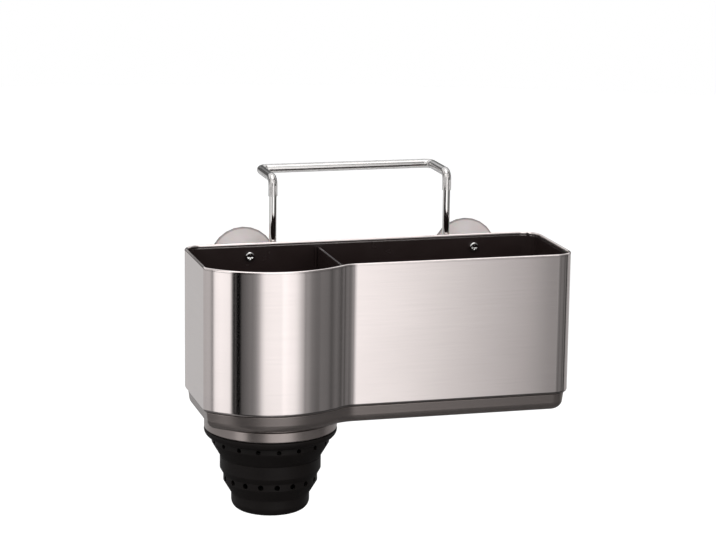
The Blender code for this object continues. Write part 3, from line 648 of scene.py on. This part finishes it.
def black_silicone():
    """Black silicone rubber, moulded: matt with a soft greyish bloom."""
    made, tree = new_finish("silicone_black_moulded", Metallic=0, IOR=1.43, Specular_IOR_Level=0.2)
    bloom = pattern(tree, (14, 14, 7))
    grain = pattern(tree, (0.7, 0.7, 0.7), detail=2)
    vary(tree, "silicone", (bloom, 0.8, 1.3), (bloom, 0.48, 0.60), (grain, 0.15, 0.00003))
    return made


def clear_vinyl():
    """Soft clear PVC tube: glassy with a faint grey haze, so the wire shines through."""
    made, tree = new_finish("pvc_clear_soft_tube", Metallic=0, IOR=1.5, Transmission_Weight=1)
    haze = pattern(tree, (3.3, 3.3, 3.3), detail=2)
    vary(tree, "sleeve", (haze, 0.98, 1.02), (haze, 0.0, 0.03))
    # Grey where light passes through much of it, at the tube's edges
    depth = node(tree, "ShaderNodeVolumeAbsorption", {"Color": (0.2, 0.2, 0.2, 1), "Density": 300.0})
    tree.links.new(depth.outputs[0], tree.nodes["Material Output"].inputs["Volume"])
    return made


def milky_vinyl():
    """Soft translucent PVC: milky, with a moulded satin face, and painted shade greying the edge of its lip.
    """
    made, tree = new_finish(
        "pvc_milky_soft_moulded", Metallic=0, IOR=1.53, Transmission_Weight=0.35,
        Subsurface_Weight=0.3, Subsurface_Scale=0.004,
    )
    cloud = pattern(tree, (5.5, 5.5, 5.5))
    tone = vary(tree, "suction", (cloud, 0.93, 1.03), (cloud, 0.28, 0.38), (cloud, 0.1, 0.0001))
    # Painted shade: over the last millimetre of each cup's lip the colour is darkened towards grey, standing
    # in for the shade along its edge
    base = bpy.context.scene.caddy_colours.suction
    low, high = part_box("suction_cup_right")
    rim, middle = (high.x - low.x) / 2, (low.x + high.x) / 2
    rim_shade_start, rim_shade_full, rim_shade_share = rim - 0.0016, rim - 0.0006, 0.4
    where = node(tree, "ShaderNodeSeparateXYZ", {0: node(tree, "ShaderNodeTexCoord").outputs["Object"]})
    across = node(tree, "ShaderNodeMath", {0: where.outputs["X"]}, operation="ABSOLUTE").outputs[0]
    across = node(tree, "ShaderNodeMath", {0: across, 1: middle}, operation="SUBTRACT").outputs[0]
    flat = node(tree, "ShaderNodeCombineXYZ", {0: across, 2: where.outputs["Z"]}).outputs[0]
    radius = node(tree, "ShaderNodeVectorMath", {0: flat}, operation="LENGTH").outputs["Value"]
    lip = node(tree, "ShaderNodeMapRange", {
        "Value": radius, "From Min": rim_shade_start, "From Max": rim_shade_full, "To Min": 0.0, "To Max": 1.0,
    }).outputs["Result"]
    # Painted shade: the colour is mixed towards a darker grey where the lip's edge is
    grey = node(tree, "ShaderNodeMix", {
        "Factor": lip, "A": tone, "B": (*[c * rim_shade_share for c in base], 1),
    }, data_type="RGBA").outputs[2]
    tree.links.new(grey, tree.nodes["Principled BSDF"].inputs["Base Color"])
    return made


FINISHES = {
    "brushed_steel": brushed_steel,
    "polished_steel": polished_steel,
    "grey_plastic": grey_abs,
    "black_plastic": black_polypropylene,
    "black_silicone": black_silicone,
    "black_vinyl": black_vinyl,
    "sleeve_vinyl": clear_vinyl,
    "suction_vinyl": milky_vinyl,
}
made_finishes = {}


def dress(piece, slot, body, *stands_for):
    """Gives a piece its finish and its body if it has only one, and hides the solids that it stands for."""
    if slot not in made_finishes:
        made_finishes[slot] = FINISHES[slot]()
    piece.data.materials.clear()
    piece.data.materials.append(made_finishes[slot])
    if body:
        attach(piece, body)
    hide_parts(*stands_for)


def copied_piece(source, name, edge, slot, body="caddy"):
    """A dressed copy of one of the frame's solids, with its edges eased and its round faces smooth."""
    deselect_everything()
    solid = frame["nodes"][source]
    solid.select_set(True)
    bpy.context.view_layer.objects.active = solid
    bpy.ops.object.duplicate()
    piece = bpy.context.object
    piece.parent = None
    for key in list(piece.keys()):
        del piece[key]
    piece.name = piece.data.name = name
    bpy.ops.object.mode_set(mode="EDIT")
    bpy.ops.mesh.select_all(action="SELECT")
    bpy.ops.mesh.remove_doubles(threshold=COPY_MERGE)
    bpy.ops.mesh.dissolve_limited(angle_limit=FLAT_ANGLE)
    bpy.ops.object.mode_set(mode="OBJECT")
    ease_edges(piece, edge, segments=2)
    shade(piece)
    dress(piece, slot, body, source)


# Pieces


class CADDY_OT_steel_shell(bpy.types.Operator):
    """Wraps the brushed sheet round the body, with its rolled rim and drawn-in foot"""
    bl_idname = "caddy.steel_shell"
    bl_label = "Steel shell"

    def execute(self, context):
        shell = context.scene.caddy_shell
        # The rim rolls inwards. It stands a little proud of the sheet and ends at its inner face
        middle = shell.bead_r - shell.bead_proud
        leaving = math.pi + math.acos(middle / shell.bead_r)
        meeting = -math.acos((shell.sheet - middle) / shell.bead_r)
        bead = arc((middle, -shell.bead_r), shell.bead_r, leaving, meeting, steps=20)
        # The foot turns in on a quarter round
        outer_r = shell.drawn_in
        centre = (outer_r, -(shell.height - outer_r))
        foot = arc(centre, outer_r, 3 * QUARTER, math.pi, steps=8)
        inside = arc(centre, outer_r - shell.sheet, math.pi, 3 * QUARTER, steps=5)
        piece = wrapped_piece("steel_shell", drops(foot + bead + inside))
        shade(piece)
        dress(piece, "brushed_steel", "caddy", "outer_shell")
        return {"FINISHED"}


class CADDY_OT_liner(bpy.types.Operator):
    """Makes the black bucket inside the steel and the panel between its compartments"""
    bl_idname = "caddy.liner"
    bl_label = "Liner and divider"

    def execute(self, context):
        edges = context.scene.caddy_edges
        copied_piece("inner_liner", "liner_tub", edges.liner, "black_plastic")
        copied_piece("divider", "divider_panel", edges.divider, "black_plastic")
        return {"FINISHED"}


class CADDY_OT_base(bpy.types.Operator):
    """Makes the grey base under the steel and its four screws"""
    bl_idname = "caddy.base"
    bl_label = "Base"

    def execute(self, context):
        shell, gap = context.scene.caddy_shell, plan_settings().gap
        top, bottom = shell.height + gap, shell.height + shell.tray_band
        floor_top = bottom - shell.tray_floor
        lean, corner = shell.drawn_in + shell.tray_taper, shell.tray_corner_r
        lip_out = shell.drawn_in + shell.sheet + gap
        lip_in = lip_out + shell.tray_wall
        edge = shell.sheet / 2
        # The band rounds under the steel at its top and rounds into the floor below
        section = arc((lean + corner, -(bottom - corner)), corner, -QUARTER, -math.pi, steps=14)
        section += arc((shell.drawn_in + edge, -(top + edge)), edge, math.pi, QUARTER, steps=4)
        # The ledge under the steel rises a little inwards: two loops at one height may be bridged twisted
        section = drops(section) + [(lip_out, top - shell.ledge_rise), (lip_out, shell.liner_bottom + gap)]
        band = wrapped_piece("base_band", section, closed=False)
        centre = cup_centre()
        cut(band, round_tool(shell.collar_r - shell.collar_edge, bottom, top + edge, centre), "UNION")
        section = [(lip_in, floor_top), (lip_in, shell.liner_bottom - gap)]
        cut(band, wrapped_piece("base_hollow", section, closed=False))
        cut(band, round_tool(shell.spigot_r + gap, bottom + gap, shell.liner_bottom - gap, centre))
        for source in TRAY_SCREWS:
            low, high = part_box(source)
            place = Vector(((low.x + high.x) / 2, (low.y + high.y) / 2, 0))
            cut(band, round_tool((high.x - low.x) / 2 + gap, bottom + gap, floor_top - gap, place))
        self.cut_drains(band, bottom + gap, floor_top - gap)
        shade(band)
        dress(band, "grey_plastic", "caddy", "base_tray")
        for source in TRAY_SCREWS:
            name = source.replace("tray", "base")
            copied_piece(source, name, context.scene.caddy_edges.screw, "polished_steel")
        return {"FINISHED"}

    def cut_drains(self, band, low, high):
        """Rows of round-ended slots under the straight side."""
        plan, shell = plan_settings(), bpy.context.scene.caddy_shell
        wall = shell.sheet + plan.gap + shell.liner_wall
        pitch = (plan.depth - 2 * wall) / (shell.floor_ribs + 1)
        left = divider_x() + shell.drain_length
        right = plan.width / 2 - shell.drain_length
        sides = (shell.drain_length, shell.drain_width, low - high + 2 * shell.drain_width)
        for row in DRAIN_ROWS:
            for share in DRAIN_SHARES:
                x, y = left + (right - left) * share, at_depth(wall + pitch * row)
                slot = box_tool((x, y, at_height((low + high) / 2)), sides)
                add_step(slot, "BEVEL", width=shell.drain_width * DRAIN_ROUND_SHARE, segments=5)
                cut(band, slot)


class CADDY_OT_collar(bpy.types.Operator):
    """Turns the grey ring that holds the cup"""
    bl_idname = "caddy.collar"
    bl_label = "Collar"

    def execute(self, context):
        shell = context.scene.caddy_shell
        tray_bottom = shell.height + shell.tray_band
        end = at_height(tray_bottom + shell.collar_drop)
        top = at_height(tray_bottom + plan_settings().gap)
        spigot = at_height(tray_bottom - shell.spigot_rise)
        edge = shell.collar_edge
        bore = shell.spigot_r - shell.spigot_wall
        section = [(bore, end)]
        section += arc((shell.collar_r - edge, end + edge), edge, -QUARTER, 0, steps=6)
        section += arc((shell.collar_r - edge, top - edge), edge, 0, QUARTER, steps=6)
        section += [(shell.spigot_r, top), (shell.spigot_r, spigot), (bore, spigot), (bore, end)]
        piece = turned_piece("collar_ring", section, cup_centre(), RING_SIDES)
        dress(piece, "grey_plastic", "caddy", "cup_retainer")
        return {"FINISHED"}


def web(top_r, top, end_r, end):
    """The outer face of a thin web, straight from one radius and drop to another."""
    shares = [step / WEB_STEPS for step in range(WEB_STEPS + 1)]
    return [(top_r + (end_r - top_r) * share, top + (end - top) * share) for share in shares]


def inner_face(face, wall):
    """The inner face that belongs to an outer one, drawn back from its end."""
    return [(radius - wall, drop) for radius, drop in face[::-1]]


def hole_row(piece, radius, drop, hole_r):
    """Cuts a row of round drain holes through a band of the cup."""
    cup, centre = bpy.context.scene.caddy_cup, cup_centre()
    deselect_everything()
    tools = []
    for number in range(cup.holes):
        turn = cup.first_hole + 4 * QUARTER * number / cup.holes
        bpy.ops.mesh.primitive_cylinder_add(
            vertices=HOLE_SIDES, radius=hole_r, depth=DRILL, rotation=(0, QUARTER, turn),
            location=on_circle(centre, radius, turn, at_height(drop)),
        )
        tools.append(as_tool())
    for tool in tools:
        tool.select_set(True)
    bpy.context.view_layer.objects.active = tools[0]
    bpy.ops.object.join()
    cut(piece, bpy.context.object)
    shade(piece)


class CADDY_OT_folding_cup(bpy.types.Operator):
    """Turns the silicone cup in two skins that meet at the top of its middle band"""
    bl_idname = "caddy.folding_cup"
    bl_label = "Fold-up cup"

    def execute(self, context):
        self.add_upper(context.scene.caddy_cup, context.scene.caddy_shell)
        self.add_lower(context.scene.caddy_cup, context.scene.caddy_edges.band)
        return {"FINISHED"}

    def add_upper(self, cup, shell):
        """The lip under the collar, the upper row of holes and the upper fold."""
        centre = cup_centre()
        gap, edge = plan_settings().gap, shell.collar_edge
        tray_bottom = shell.height + shell.tray_band
        lip_top = tray_bottom + shell.collar_drop + gap
        flange_top = tray_bottom - shell.spigot_rise - gap
        neck_out = shell.spigot_r - shell.spigot_wall - gap
        neck_in = shell.spout_r + gap
        lip_round = cup.lip_r - cup.upper_r
        upper_in = cup.upper_r - cup.wall
        section = [
            (neck_in, flange_top - cup.wall), (shell.spigot_r, flange_top - cup.wall),
            (shell.spigot_r, flange_top), (neck_out, flange_top), (neck_out, lip_top),
        ]
        # The lip is a tall quarter of an ellipse, rounded in at its lower end
        for step in range(LIP_STEPS):
            turn = QUARTER * step / LIP_STEPS
            radius = cup.lip_r - edge * (1 - math.sin(turn))
            section.append((radius, cup.lip_end - (cup.lip_end - lip_top) * math.cos(turn)))
        section += drops(arc((cup.upper_r, -cup.lip_end), lip_round, 0, -QUARTER, steps=12)[:-1])
        fold_start = cup.upper_fold - cup.fold_lead
        section += [(cup.upper_r, cup.lip_end + lip_round), (cup.upper_r, fold_start)]
        fold = web(cup.upper_r, cup.upper_fold, cup.middle_r, cup.middle_top)
        section += fold + inner_face(fold, cup.fold_wall)
        section += [(upper_in, fold_start), (upper_in, lip_top + cup.wall), (neck_in, lip_top + cup.wall)]
        section.append(section[0])
        upper = turned_piece("cup_upper", [(r, at_height(d)) for r, d in section], centre, CUP_SIDES)
        hole_row(upper, cup.upper_r, (cup.lip_end + lip_round + cup.upper_fold) / 2, cup.upper_hole_r)
        dress(upper, "black_silicone", None, "cup_flange", "upper_fold")
        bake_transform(upper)

    def add_lower(self, cup, ease):
        """The middle band with the lower row of holes, the lower fold and the closed bottom."""
        centre = cup_centre()
        lower_in, middle_in = cup.lower_r - cup.wall, cup.middle_r - cup.wall
        corner = cup.corner_r
        corner_centre = (cup.base_r - corner, -(cup.bottom - corner))
        section = [
            (middle_in, cup.middle_top), (cup.middle_r - ease, cup.middle_top),
            (cup.middle_r, cup.middle_top + ease), (cup.middle_r, cup.step_top - ease),
            (cup.middle_r - ease / 2, cup.step_top), (cup.lower_r + ease / 2, cup.step_end - ease / 2),
            (cup.lower_r, cup.step_end + ease),
        ]
        fold = web(cup.lower_r, cup.lower_fold, cup.base_r, cup.base_top)
        section += fold + drops(arc(corner_centre, corner, 0, -QUARTER, steps=10))
        section += [(0, cup.bottom), (0, cup.bottom - cup.wall)]
        section += drops(arc(corner_centre, corner - cup.wall, -QUARTER, 0, steps=6))
        section += inner_face(fold, cup.fold_wall)
        section += [(lower_in, cup.step_end), (middle_in, cup.step_top), (middle_in, cup.middle_top)]
        lower = turned_piece("cup_lower", [(r, at_height(d)) for r, d in section], centre, CUP_SIDES)
        hole_row(lower, cup.lower_r, (cup.step_end + cup.lower_fold) / 2, cup.lower_hole_r)
        dress(lower, "black_silicone", None, "middle_band", "lower_fold", "cup_base")
        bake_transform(lower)


def bent_rod(name, leg_end, radius, bore=0.0):
    """A rod or tube that follows the hanger's line: up, back, across, forward and down."""
    hanger = bpy.context.scene.caddy_hanger
    x, y = hanger.leg_spacing / 2, at_depth(0) + hanger.leg_back
    top, back = at_height(-hanger.rise), y + hanger.arm
    bend = hanger.bend_r
    deselect_everything()
    bpy.ops.mesh.primitive_circle_add(
        vertices=WIRE_SIDES, radius=radius, fill_type="NGON", location=(-x, y, leg_end),
    )
    piece = begin_piece(name)
    bpy.ops.mesh.select_mode(type="FACE")
    if bore:
        bpy.ops.mesh.inset(thickness=radius - bore)
        bpy.ops.mesh.delete(type="ONLY_FACE")
        bpy.ops.mesh.select_all(action="SELECT")
    pull((0, 0, top - bend - leg_end))
    sweep((-x, y + bend, top - bend), (1, 0, 0), -QUARTER, BEND_STEPS)
    pull((0, hanger.arm - 2 * bend, 0))
    sweep((-x + bend, back - bend, top), (0, 0, 1), -QUARTER, BEND_STEPS)
    pull((2 * x - 2 * bend, 0, 0))
    sweep((x - bend, back - bend, top), (0, 0, 1), -QUARTER, BEND_STEPS)
    pull((0, -hanger.arm + 2 * bend, 0))
    sweep((x, y + bend, top - bend), (1, 0, 0), QUARTER, BEND_STEPS)
    pull((0, 0, leg_end - top + bend))
    return close_piece(piece)


class CADDY_OT_wire_loop(bpy.types.Operator):
    """Bends the wire, slides its soft sleeve on and caps its legs"""
    bl_idname = "caddy.wire_loop"
    bl_label = "Wire loop"

    def execute(self, context):
        hanger, edges = context.scene.caddy_hanger, context.scene.caddy_edges
        wire = bent_rod("loop_wire", LEG_END, hanger.wire_r)
        ease_edges(wire, edges.wire, segments=3)
        shade(wire)
        dress(wire, "polished_steel", "hanger", "hanger_wire")
        end = at_height(-hanger.sleeve_rise)
        sleeve = bent_rod("loop_sleeve", end, hanger.sleeve_r, hanger.sleeve_bore_r)
        shade(sleeve)
        dress(sleeve, "sleeve_vinyl", "hanger", "hanger_sleeve")
        for side in SIDES:
            copied_piece("leg_cap_" + side, "wire_cap_" + side, edges.cap, "black_vinyl", "hanger")
        return {"FINISHED"}


class CADDY_OT_rear_fittings(bpy.types.Operator):
    """Makes the brackets, their screws and the suction cups"""
    bl_idname = "caddy.rear_fittings"
    bl_label = "Rear fittings"

    def execute(self, context):
        edges = context.scene.caddy_edges
        for side in SIDES:
            copied_piece("bracket_" + side, "wall_bracket_" + side, edges.bracket, "grey_plastic")
            source = "bracket_screw_" + side
            dress(self.pan_head_screw("wall_screw_" + side, source), "polished_steel", "caddy", source)
            copied_piece("suction_cup_" + side, "wall_suction_" + side, edges.suction, "suction_vinyl")
        return {"FINISHED"}

    def pan_head_screw(self, name, source):
        """A screw with a flat round-edged cross head in the place of one of the frame's solids."""
        hanger = bpy.context.scene.caddy_hanger
        low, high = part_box(source)
        front = Vector(((low.x + high.x) / 2, low.y, (low.z + high.z) / 2))
        head_r, length = (high.x - low.x) / 2, high.y - low.y
        edge, thick, shank_r = hanger.screw_edge, hanger.screw_head, hanger.screw_r
        section = [(0, 0)] + arc((head_r - edge, edge), edge, -QUARTER, 0, steps=8)
        section += [(head_r, thick), (shank_r, thick), (shank_r, length), (0, length)]
        screw = turned_piece(name, section, front, SCREW_SIDES, "Y")
        long, short = hanger.recess_length, hanger.recess_width
        for wide, tall in ((long, short), (short, long)):
            cut(screw, box_tool(front, (wide, 2 * hanger.recess_depth, tall)))
        shade(screw)
        return screw


# Light round the studio: azimuth in degrees from straight in front, to the right, and its level
STUDIO_RING = (
    (-180, 0.60), (-92, 0.64), (-84, 0.68), (-80.5, 0.6), (-79, 0.12), (-77.5, 0.8), (-75.5, 1.4), (-68, 1.5),
    (-56, 1.4), (-54.5, 0.8), (-53, 0.0), (-50.5, 0.0), (-49.3, 0.12), (-48, 0.0), (-43.5, 0.0), (-42, 0.12),
    (-34, 0.22), (-24, 0.38), (-14, 1.1), (10, 1.3), (28, 0.6), (45, 0.25), (64, 0.2), (69, 0.11), (77, 0.21),
    (84, 0.12), (88, 0.03), (92, 0.05), (96, 0.4), (130, 0.5), (180, 0.66),
)
# The softbox in front of the caddy: places from left to right in metres, and its level there
SOFTBOX = (
    (-0.45, 0.22), (-0.38, 0.34), (-0.335, 0.54), (-0.28, 1.04), (-0.24, 1.27), (-0.15, 1.34), (-0.03, 1.36),
    (0.0, 1.52), (0.04, 1.49), (0.08, 1.41), (0.15, 1.32), (0.19, 1.19), (0.227, 0.98), (0.265, 0.78),
    (0.303, 0.62), (0.322, 0.52), (0.334, 0.28), (0.35, 0.4), (0.40, 0.38), (0.48, 0.26), (0.60, 0.20),
    (0.75, 0.19),
)
SOFTBOX_Y = -0.72
SOFTBOX_HEIGHT = 2
# Its cloth fades towards its lower end: between these heights, down to this share
SOFTBOX_FADE = (-0.48, -0.30)
SOFTBOX_LEAST = 0.15
# Level of each part of the world, with the slope of a ray where it starts and where it is whole: a dark
# table below, a wall behind that is dark at eye level and white higher up, and panels overhead
TABLE = (0.2, -0.25, -0.48)
WALL_PARTS = ((0.14, -0.08, 0.04), (1.1, 0.24, 0.40))
PANELS = (2.2, 0.84, 0.94)
# How far a ray points to the rear where the wall starts and where it is whole
WALL_SIDES = (0.1, 0.5)
# Level of the even light for rays that are not mirrored or bent, and of the white for rays from the camera,
# each with the ray's mark where it starts and where it is whole
SOFT = (0.75, 1.0, 0.0)
WHITE = (1.0, 0.0, 1.0)
# Name, place, power in watts and width of each lamp
LAMPS = (
    ("key_softbox", (-0.6, -1.2, 1.1), 6, 0.9),
    ("fill_softbox", (0.9, -0.9, 0.8), 3, 0.9),
)
FLOOR_RADIUS = 3
FLOOR_HEIGHT = -0.30
FLOOR_GLOW = 0.35
# Width of the camera's sensor in millimetres, and the nearest distance that it sees
SENSOR = 36
NEAREST = 0.01


def level_ramp(tree, value, levels, low, high):
    """A ramp of grey levels over a range of a value."""
    share = node(tree, "ShaderNodeMapRange", {
        "Value": value, "From Min": low, "From Max": high, "To Min": 0.0, "To Max": 1.0,
    }).outputs["Result"]
    ramp = node(tree, "ShaderNodeValToRGB", {"Fac": share})
    stops = ramp.color_ramp.elements
    stops.remove(stops[-1])
    for number, (place, level) in enumerate(levels):
        stop = stops[0] if number == 0 else stops.new((place - low) / (high - low))
        stop.position = (place - low) / (high - low)
        stop.color = (level, level, level, 1)
    return ramp.outputs["Color"]


def lay_over(tree, under, part, value, most=1.0, blend="MIX"):
    """Lays an even light over another, from none of it to most where a value passes its two limits."""
    level, low, high = part
    share = node(tree, "ShaderNodeMapRange", {
        "Value": value, "From Min": low, "From Max": high, "To Min": 0.0, "To Max": most,
    }, interpolation_type="SMOOTHSTEP").outputs["Result"]
    return node(tree, "ShaderNodeMix", {
        "Factor": share, "A": under, "B": (level, level, level, 1),
    }, data_type="RGBA", blend_type=blend).outputs[2]


class CADDY_OT_stage(bpy.types.Operator):
    """Sets the camera, the white floor and the soft studio light"""
    bl_idname = "caddy.stage"
    bl_label = "Camera and studio"

    def execute(self, context):
        context.scene.view_settings.view_transform = "Standard"
        self.add_camera(context)
        self.add_floor(context)
        self.add_world(context)
        self.add_softbox()
        self.add_lamps(context)
        return {"FINISHED"}

    def add_camera(self, context):
        """A camera that looks along its yaw and pitch, turned by its roll."""
        view = context.scene.caddy_camera
        ahead = Vector((
            math.sin(view.yaw) * math.cos(view.pitch), math.cos(view.yaw) * math.cos(view.pitch),
            -math.sin(view.pitch),
        ))
        level = Vector((math.cos(view.yaw), -math.sin(view.yaw), 0))
        upright = level.cross(ahead)
        right = level * math.cos(view.roll) + upright * math.sin(view.roll)
        up = upright * math.cos(view.roll) - level * math.sin(view.roll)
        turn = Matrix((right, up, -ahead)).transposed()
        bpy.ops.object.camera_add(location=view.place, rotation=turn.to_euler())
        camera = context.object
        camera.name = "product_camera"
        camera.data.lens = view.lens
        camera.data.sensor_width = SENSOR
        camera.data.clip_start = NEAREST
        context.scene.camera = camera

    def add_floor(self, context):
        """White paper, which glows a little where the camera sees it."""
        deselect_everything()
        bpy.ops.mesh.primitive_circle_add(
            vertices=FLOOR_SIDES, radius=FLOOR_RADIUS, fill_type="NGON", location=(0, 0, FLOOR_HEIGHT),
        )
        floor = begin_piece("studio_floor")
        bpy.ops.object.mode_set(mode="OBJECT")
        made, tree = new_finish("studio_paper_matt_white", Roughness=0.9)
        vary(tree, "floor", (pattern(tree, (17, 17, 17), detail=2), 0.99, 1.01))
        matt = tree.nodes["Principled BSDF"].outputs[0]
        path = node(tree, "ShaderNodeLightPath")
        glow = node(tree, "ShaderNodeEmission", {"Color": (1, 1, 1, 1), "Strength": FLOOR_GLOW})
        both = node(tree, "ShaderNodeAddShader", {0: matt, 1: glow.outputs[0]})
        seen = node(tree, "ShaderNodeMixShader", {
            0: path.outputs["Is Camera Ray"], 1: matt, 2: both.outputs[0],
        })
        tree.links.new(seen.outputs[0], tree.nodes["Material Output"].inputs["Surface"])
        floor.data.materials.append(made)
        floor.visible_glossy = False

    def add_world(self, context):
        """A ring of light for glossy pieces, an even light for matt ones and white for the camera."""
        world = bpy.data.worlds.new("studio")
        context.scene.world = world
        world.use_nodes = True
        tree = world.node_tree
        background = tree.nodes["Background"]
        ray = node(tree, "ShaderNodeSeparateXYZ", {0: node(tree, "ShaderNodeTexCoord").outputs["Generated"]})
        x, y, z = ray.outputs
        ahead = node(tree, "ShaderNodeMath", {0: y, 1: -1.0}, operation="MULTIPLY").outputs[0]
        azimuth = node(tree, "ShaderNodeMath", {0: x, 1: ahead}, operation="ARCTAN2").outputs[0]
        degrees = node(tree, "ShaderNodeMath", {0: azimuth}, operation="DEGREES").outputs[0]
        lit = level_ramp(tree, degrees, STUDIO_RING, -180, 180)
        lit = lay_over(tree, lit, TABLE, z, blend="MULTIPLY")
        behind = node(tree, "ShaderNodeMapRange", {
            "Value": y, "From Min": WALL_SIDES[0], "From Max": WALL_SIDES[1], "To Min": 0.0, "To Max": 1.0,
        }, interpolation_type="SMOOTHSTEP").outputs["Result"]
        for part in WALL_PARTS:
            lit = lay_over(tree, lit, part, z, behind)
        lit = lay_over(tree, lit, PANELS, z)
        path = node(tree, "ShaderNodeLightPath").outputs
        sharp = node(tree, "ShaderNodeMath", {
            0: path["Is Glossy Ray"], 1: path["Is Transmission Ray"],
        }, operation="MAXIMUM").outputs[0]
        lit = lay_over(tree, lit, SOFT, sharp)
        lit = lay_over(tree, lit, WHITE, path["Is Camera Ray"])
        tree.links.new(lit, background.inputs["Color"])
        background.inputs["Strength"].default_value = 1

    def add_softbox(self):
        """A wide card of light that only shows in what is glossy."""
        left, right = SOFTBOX[0][0], SOFTBOX[-1][0]
        deselect_everything()
        bpy.ops.mesh.primitive_plane_add(
            size=1, location=((left + right) / 2, SOFTBOX_Y, 0), rotation=(QUARTER, 0, 0),
        )
        bpy.ops.transform.resize(value=(right - left, 1, SOFTBOX_HEIGHT))
        card = begin_piece("front_softbox")
        bpy.ops.mesh.subdivide(number_cuts=4)
        bpy.ops.object.mode_set(mode="OBJECT")
        made = bpy.data.materials.new("softbox_cloth")
        made.use_nodes = True
        tree = made.node_tree
        place = node(tree, "ShaderNodeSeparateXYZ", {0: node(tree, "ShaderNodeTexCoord").outputs["Object"]})
        cloth = level_ramp(tree, place.outputs["X"], SOFTBOX, left, right)
        fade = node(tree, "ShaderNodeMapRange", {
            "Value": place.outputs["Z"], "From Min": SOFTBOX_FADE[0], "From Max": SOFTBOX_FADE[1],
            "To Min": SOFTBOX_LEAST, "To Max": 1.0,
        }, interpolation_type="SMOOTHSTEP").outputs["Result"]
        glow = node(tree, "ShaderNodeEmission", {"Color": cloth, "Strength": fade})
        tree.links.new(glow.outputs[0], tree.nodes["Material Output"].inputs["Surface"])
        card.data.materials.append(made)
        card.visible_camera = card.visible_diffuse = card.visible_shadow = False

    def add_lamps(self, context):
        """Area lamps that point at the caddy and don't show in what is glossy."""
        for name, place, power, width in LAMPS:
            bpy.ops.object.light_add(type="AREA", location=place)
            lamp = context.object
            lamp.name = name
            lamp.data.energy = power
            lamp.data.size = width
            lamp.rotation_euler = (-Vector(place)).to_track_quat("-Z", "Y").to_euler()
            lamp.visible_glossy = False


PIECES = (
    CADDY_OT_steel_shell, CADDY_OT_liner, CADDY_OT_base, CADDY_OT_collar, CADDY_OT_folding_cup,
    CADDY_OT_wire_loop, CADDY_OT_rear_fittings, CADDY_OT_stage,
)
SETTINGS = {
    "caddy_plan": CaddyPlan,
    "caddy_shell": CaddyShell,
    "caddy_cup": CaddyCup,
    "caddy_hanger": CaddyHanger,
    "caddy_edges": CaddyEdges,
    "caddy_colours": CaddyColours,
    "caddy_camera": CaddyCamera,
}


class CADDY_PT_builder(bpy.types.Panel):
    """Lists the caddy's settings and the steps that build it"""
    bl_label = "Sink caddy"
    bl_idname = "CADDY_PT_builder"
    bl_space_type = "VIEW_3D"
    bl_region_type = "UI"
    bl_category = "Caddy"

    def draw(self, context):
        layout = self.layout
        for piece in PIECES:
            layout.operator(piece.bl_idname)
        for name in SETTINGS:
            box = layout.box()
            settings = getattr(context.scene, name)
            box.label(text=settings.__doc__ or name)
            for key in settings.__annotations__:
                box.prop(settings, key)


def register():
    """Adds the settings, the steps and the panel."""
    for name, group in SETTINGS.items():
        bpy.utils.register_class(group)
        setattr(bpy.types.Scene, name, PointerProperty(type=group))
    for piece in PIECES:
        bpy.utils.register_class(piece)
    bpy.utils.register_class(CADDY_PT_builder)


def unregister():
    """Takes the panel, the steps and the settings away."""
    bpy.utils.unregister_class(CADDY_PT_builder)
    for piece in PIECES[::-1]:
        bpy.utils.unregister_class(piece)
    for name, group in SETTINGS.items():
        delattr(bpy.types.Scene, name)
        bpy.utils.unregister_class(group)


def main():
    """Builds the caddy and its studio."""
    register()
    for piece in PIECES:
        group, step = piece.bl_idname.split(".")
        getattr(getattr(bpy.ops, group), step)()


if __name__ == "__main__":
    main()
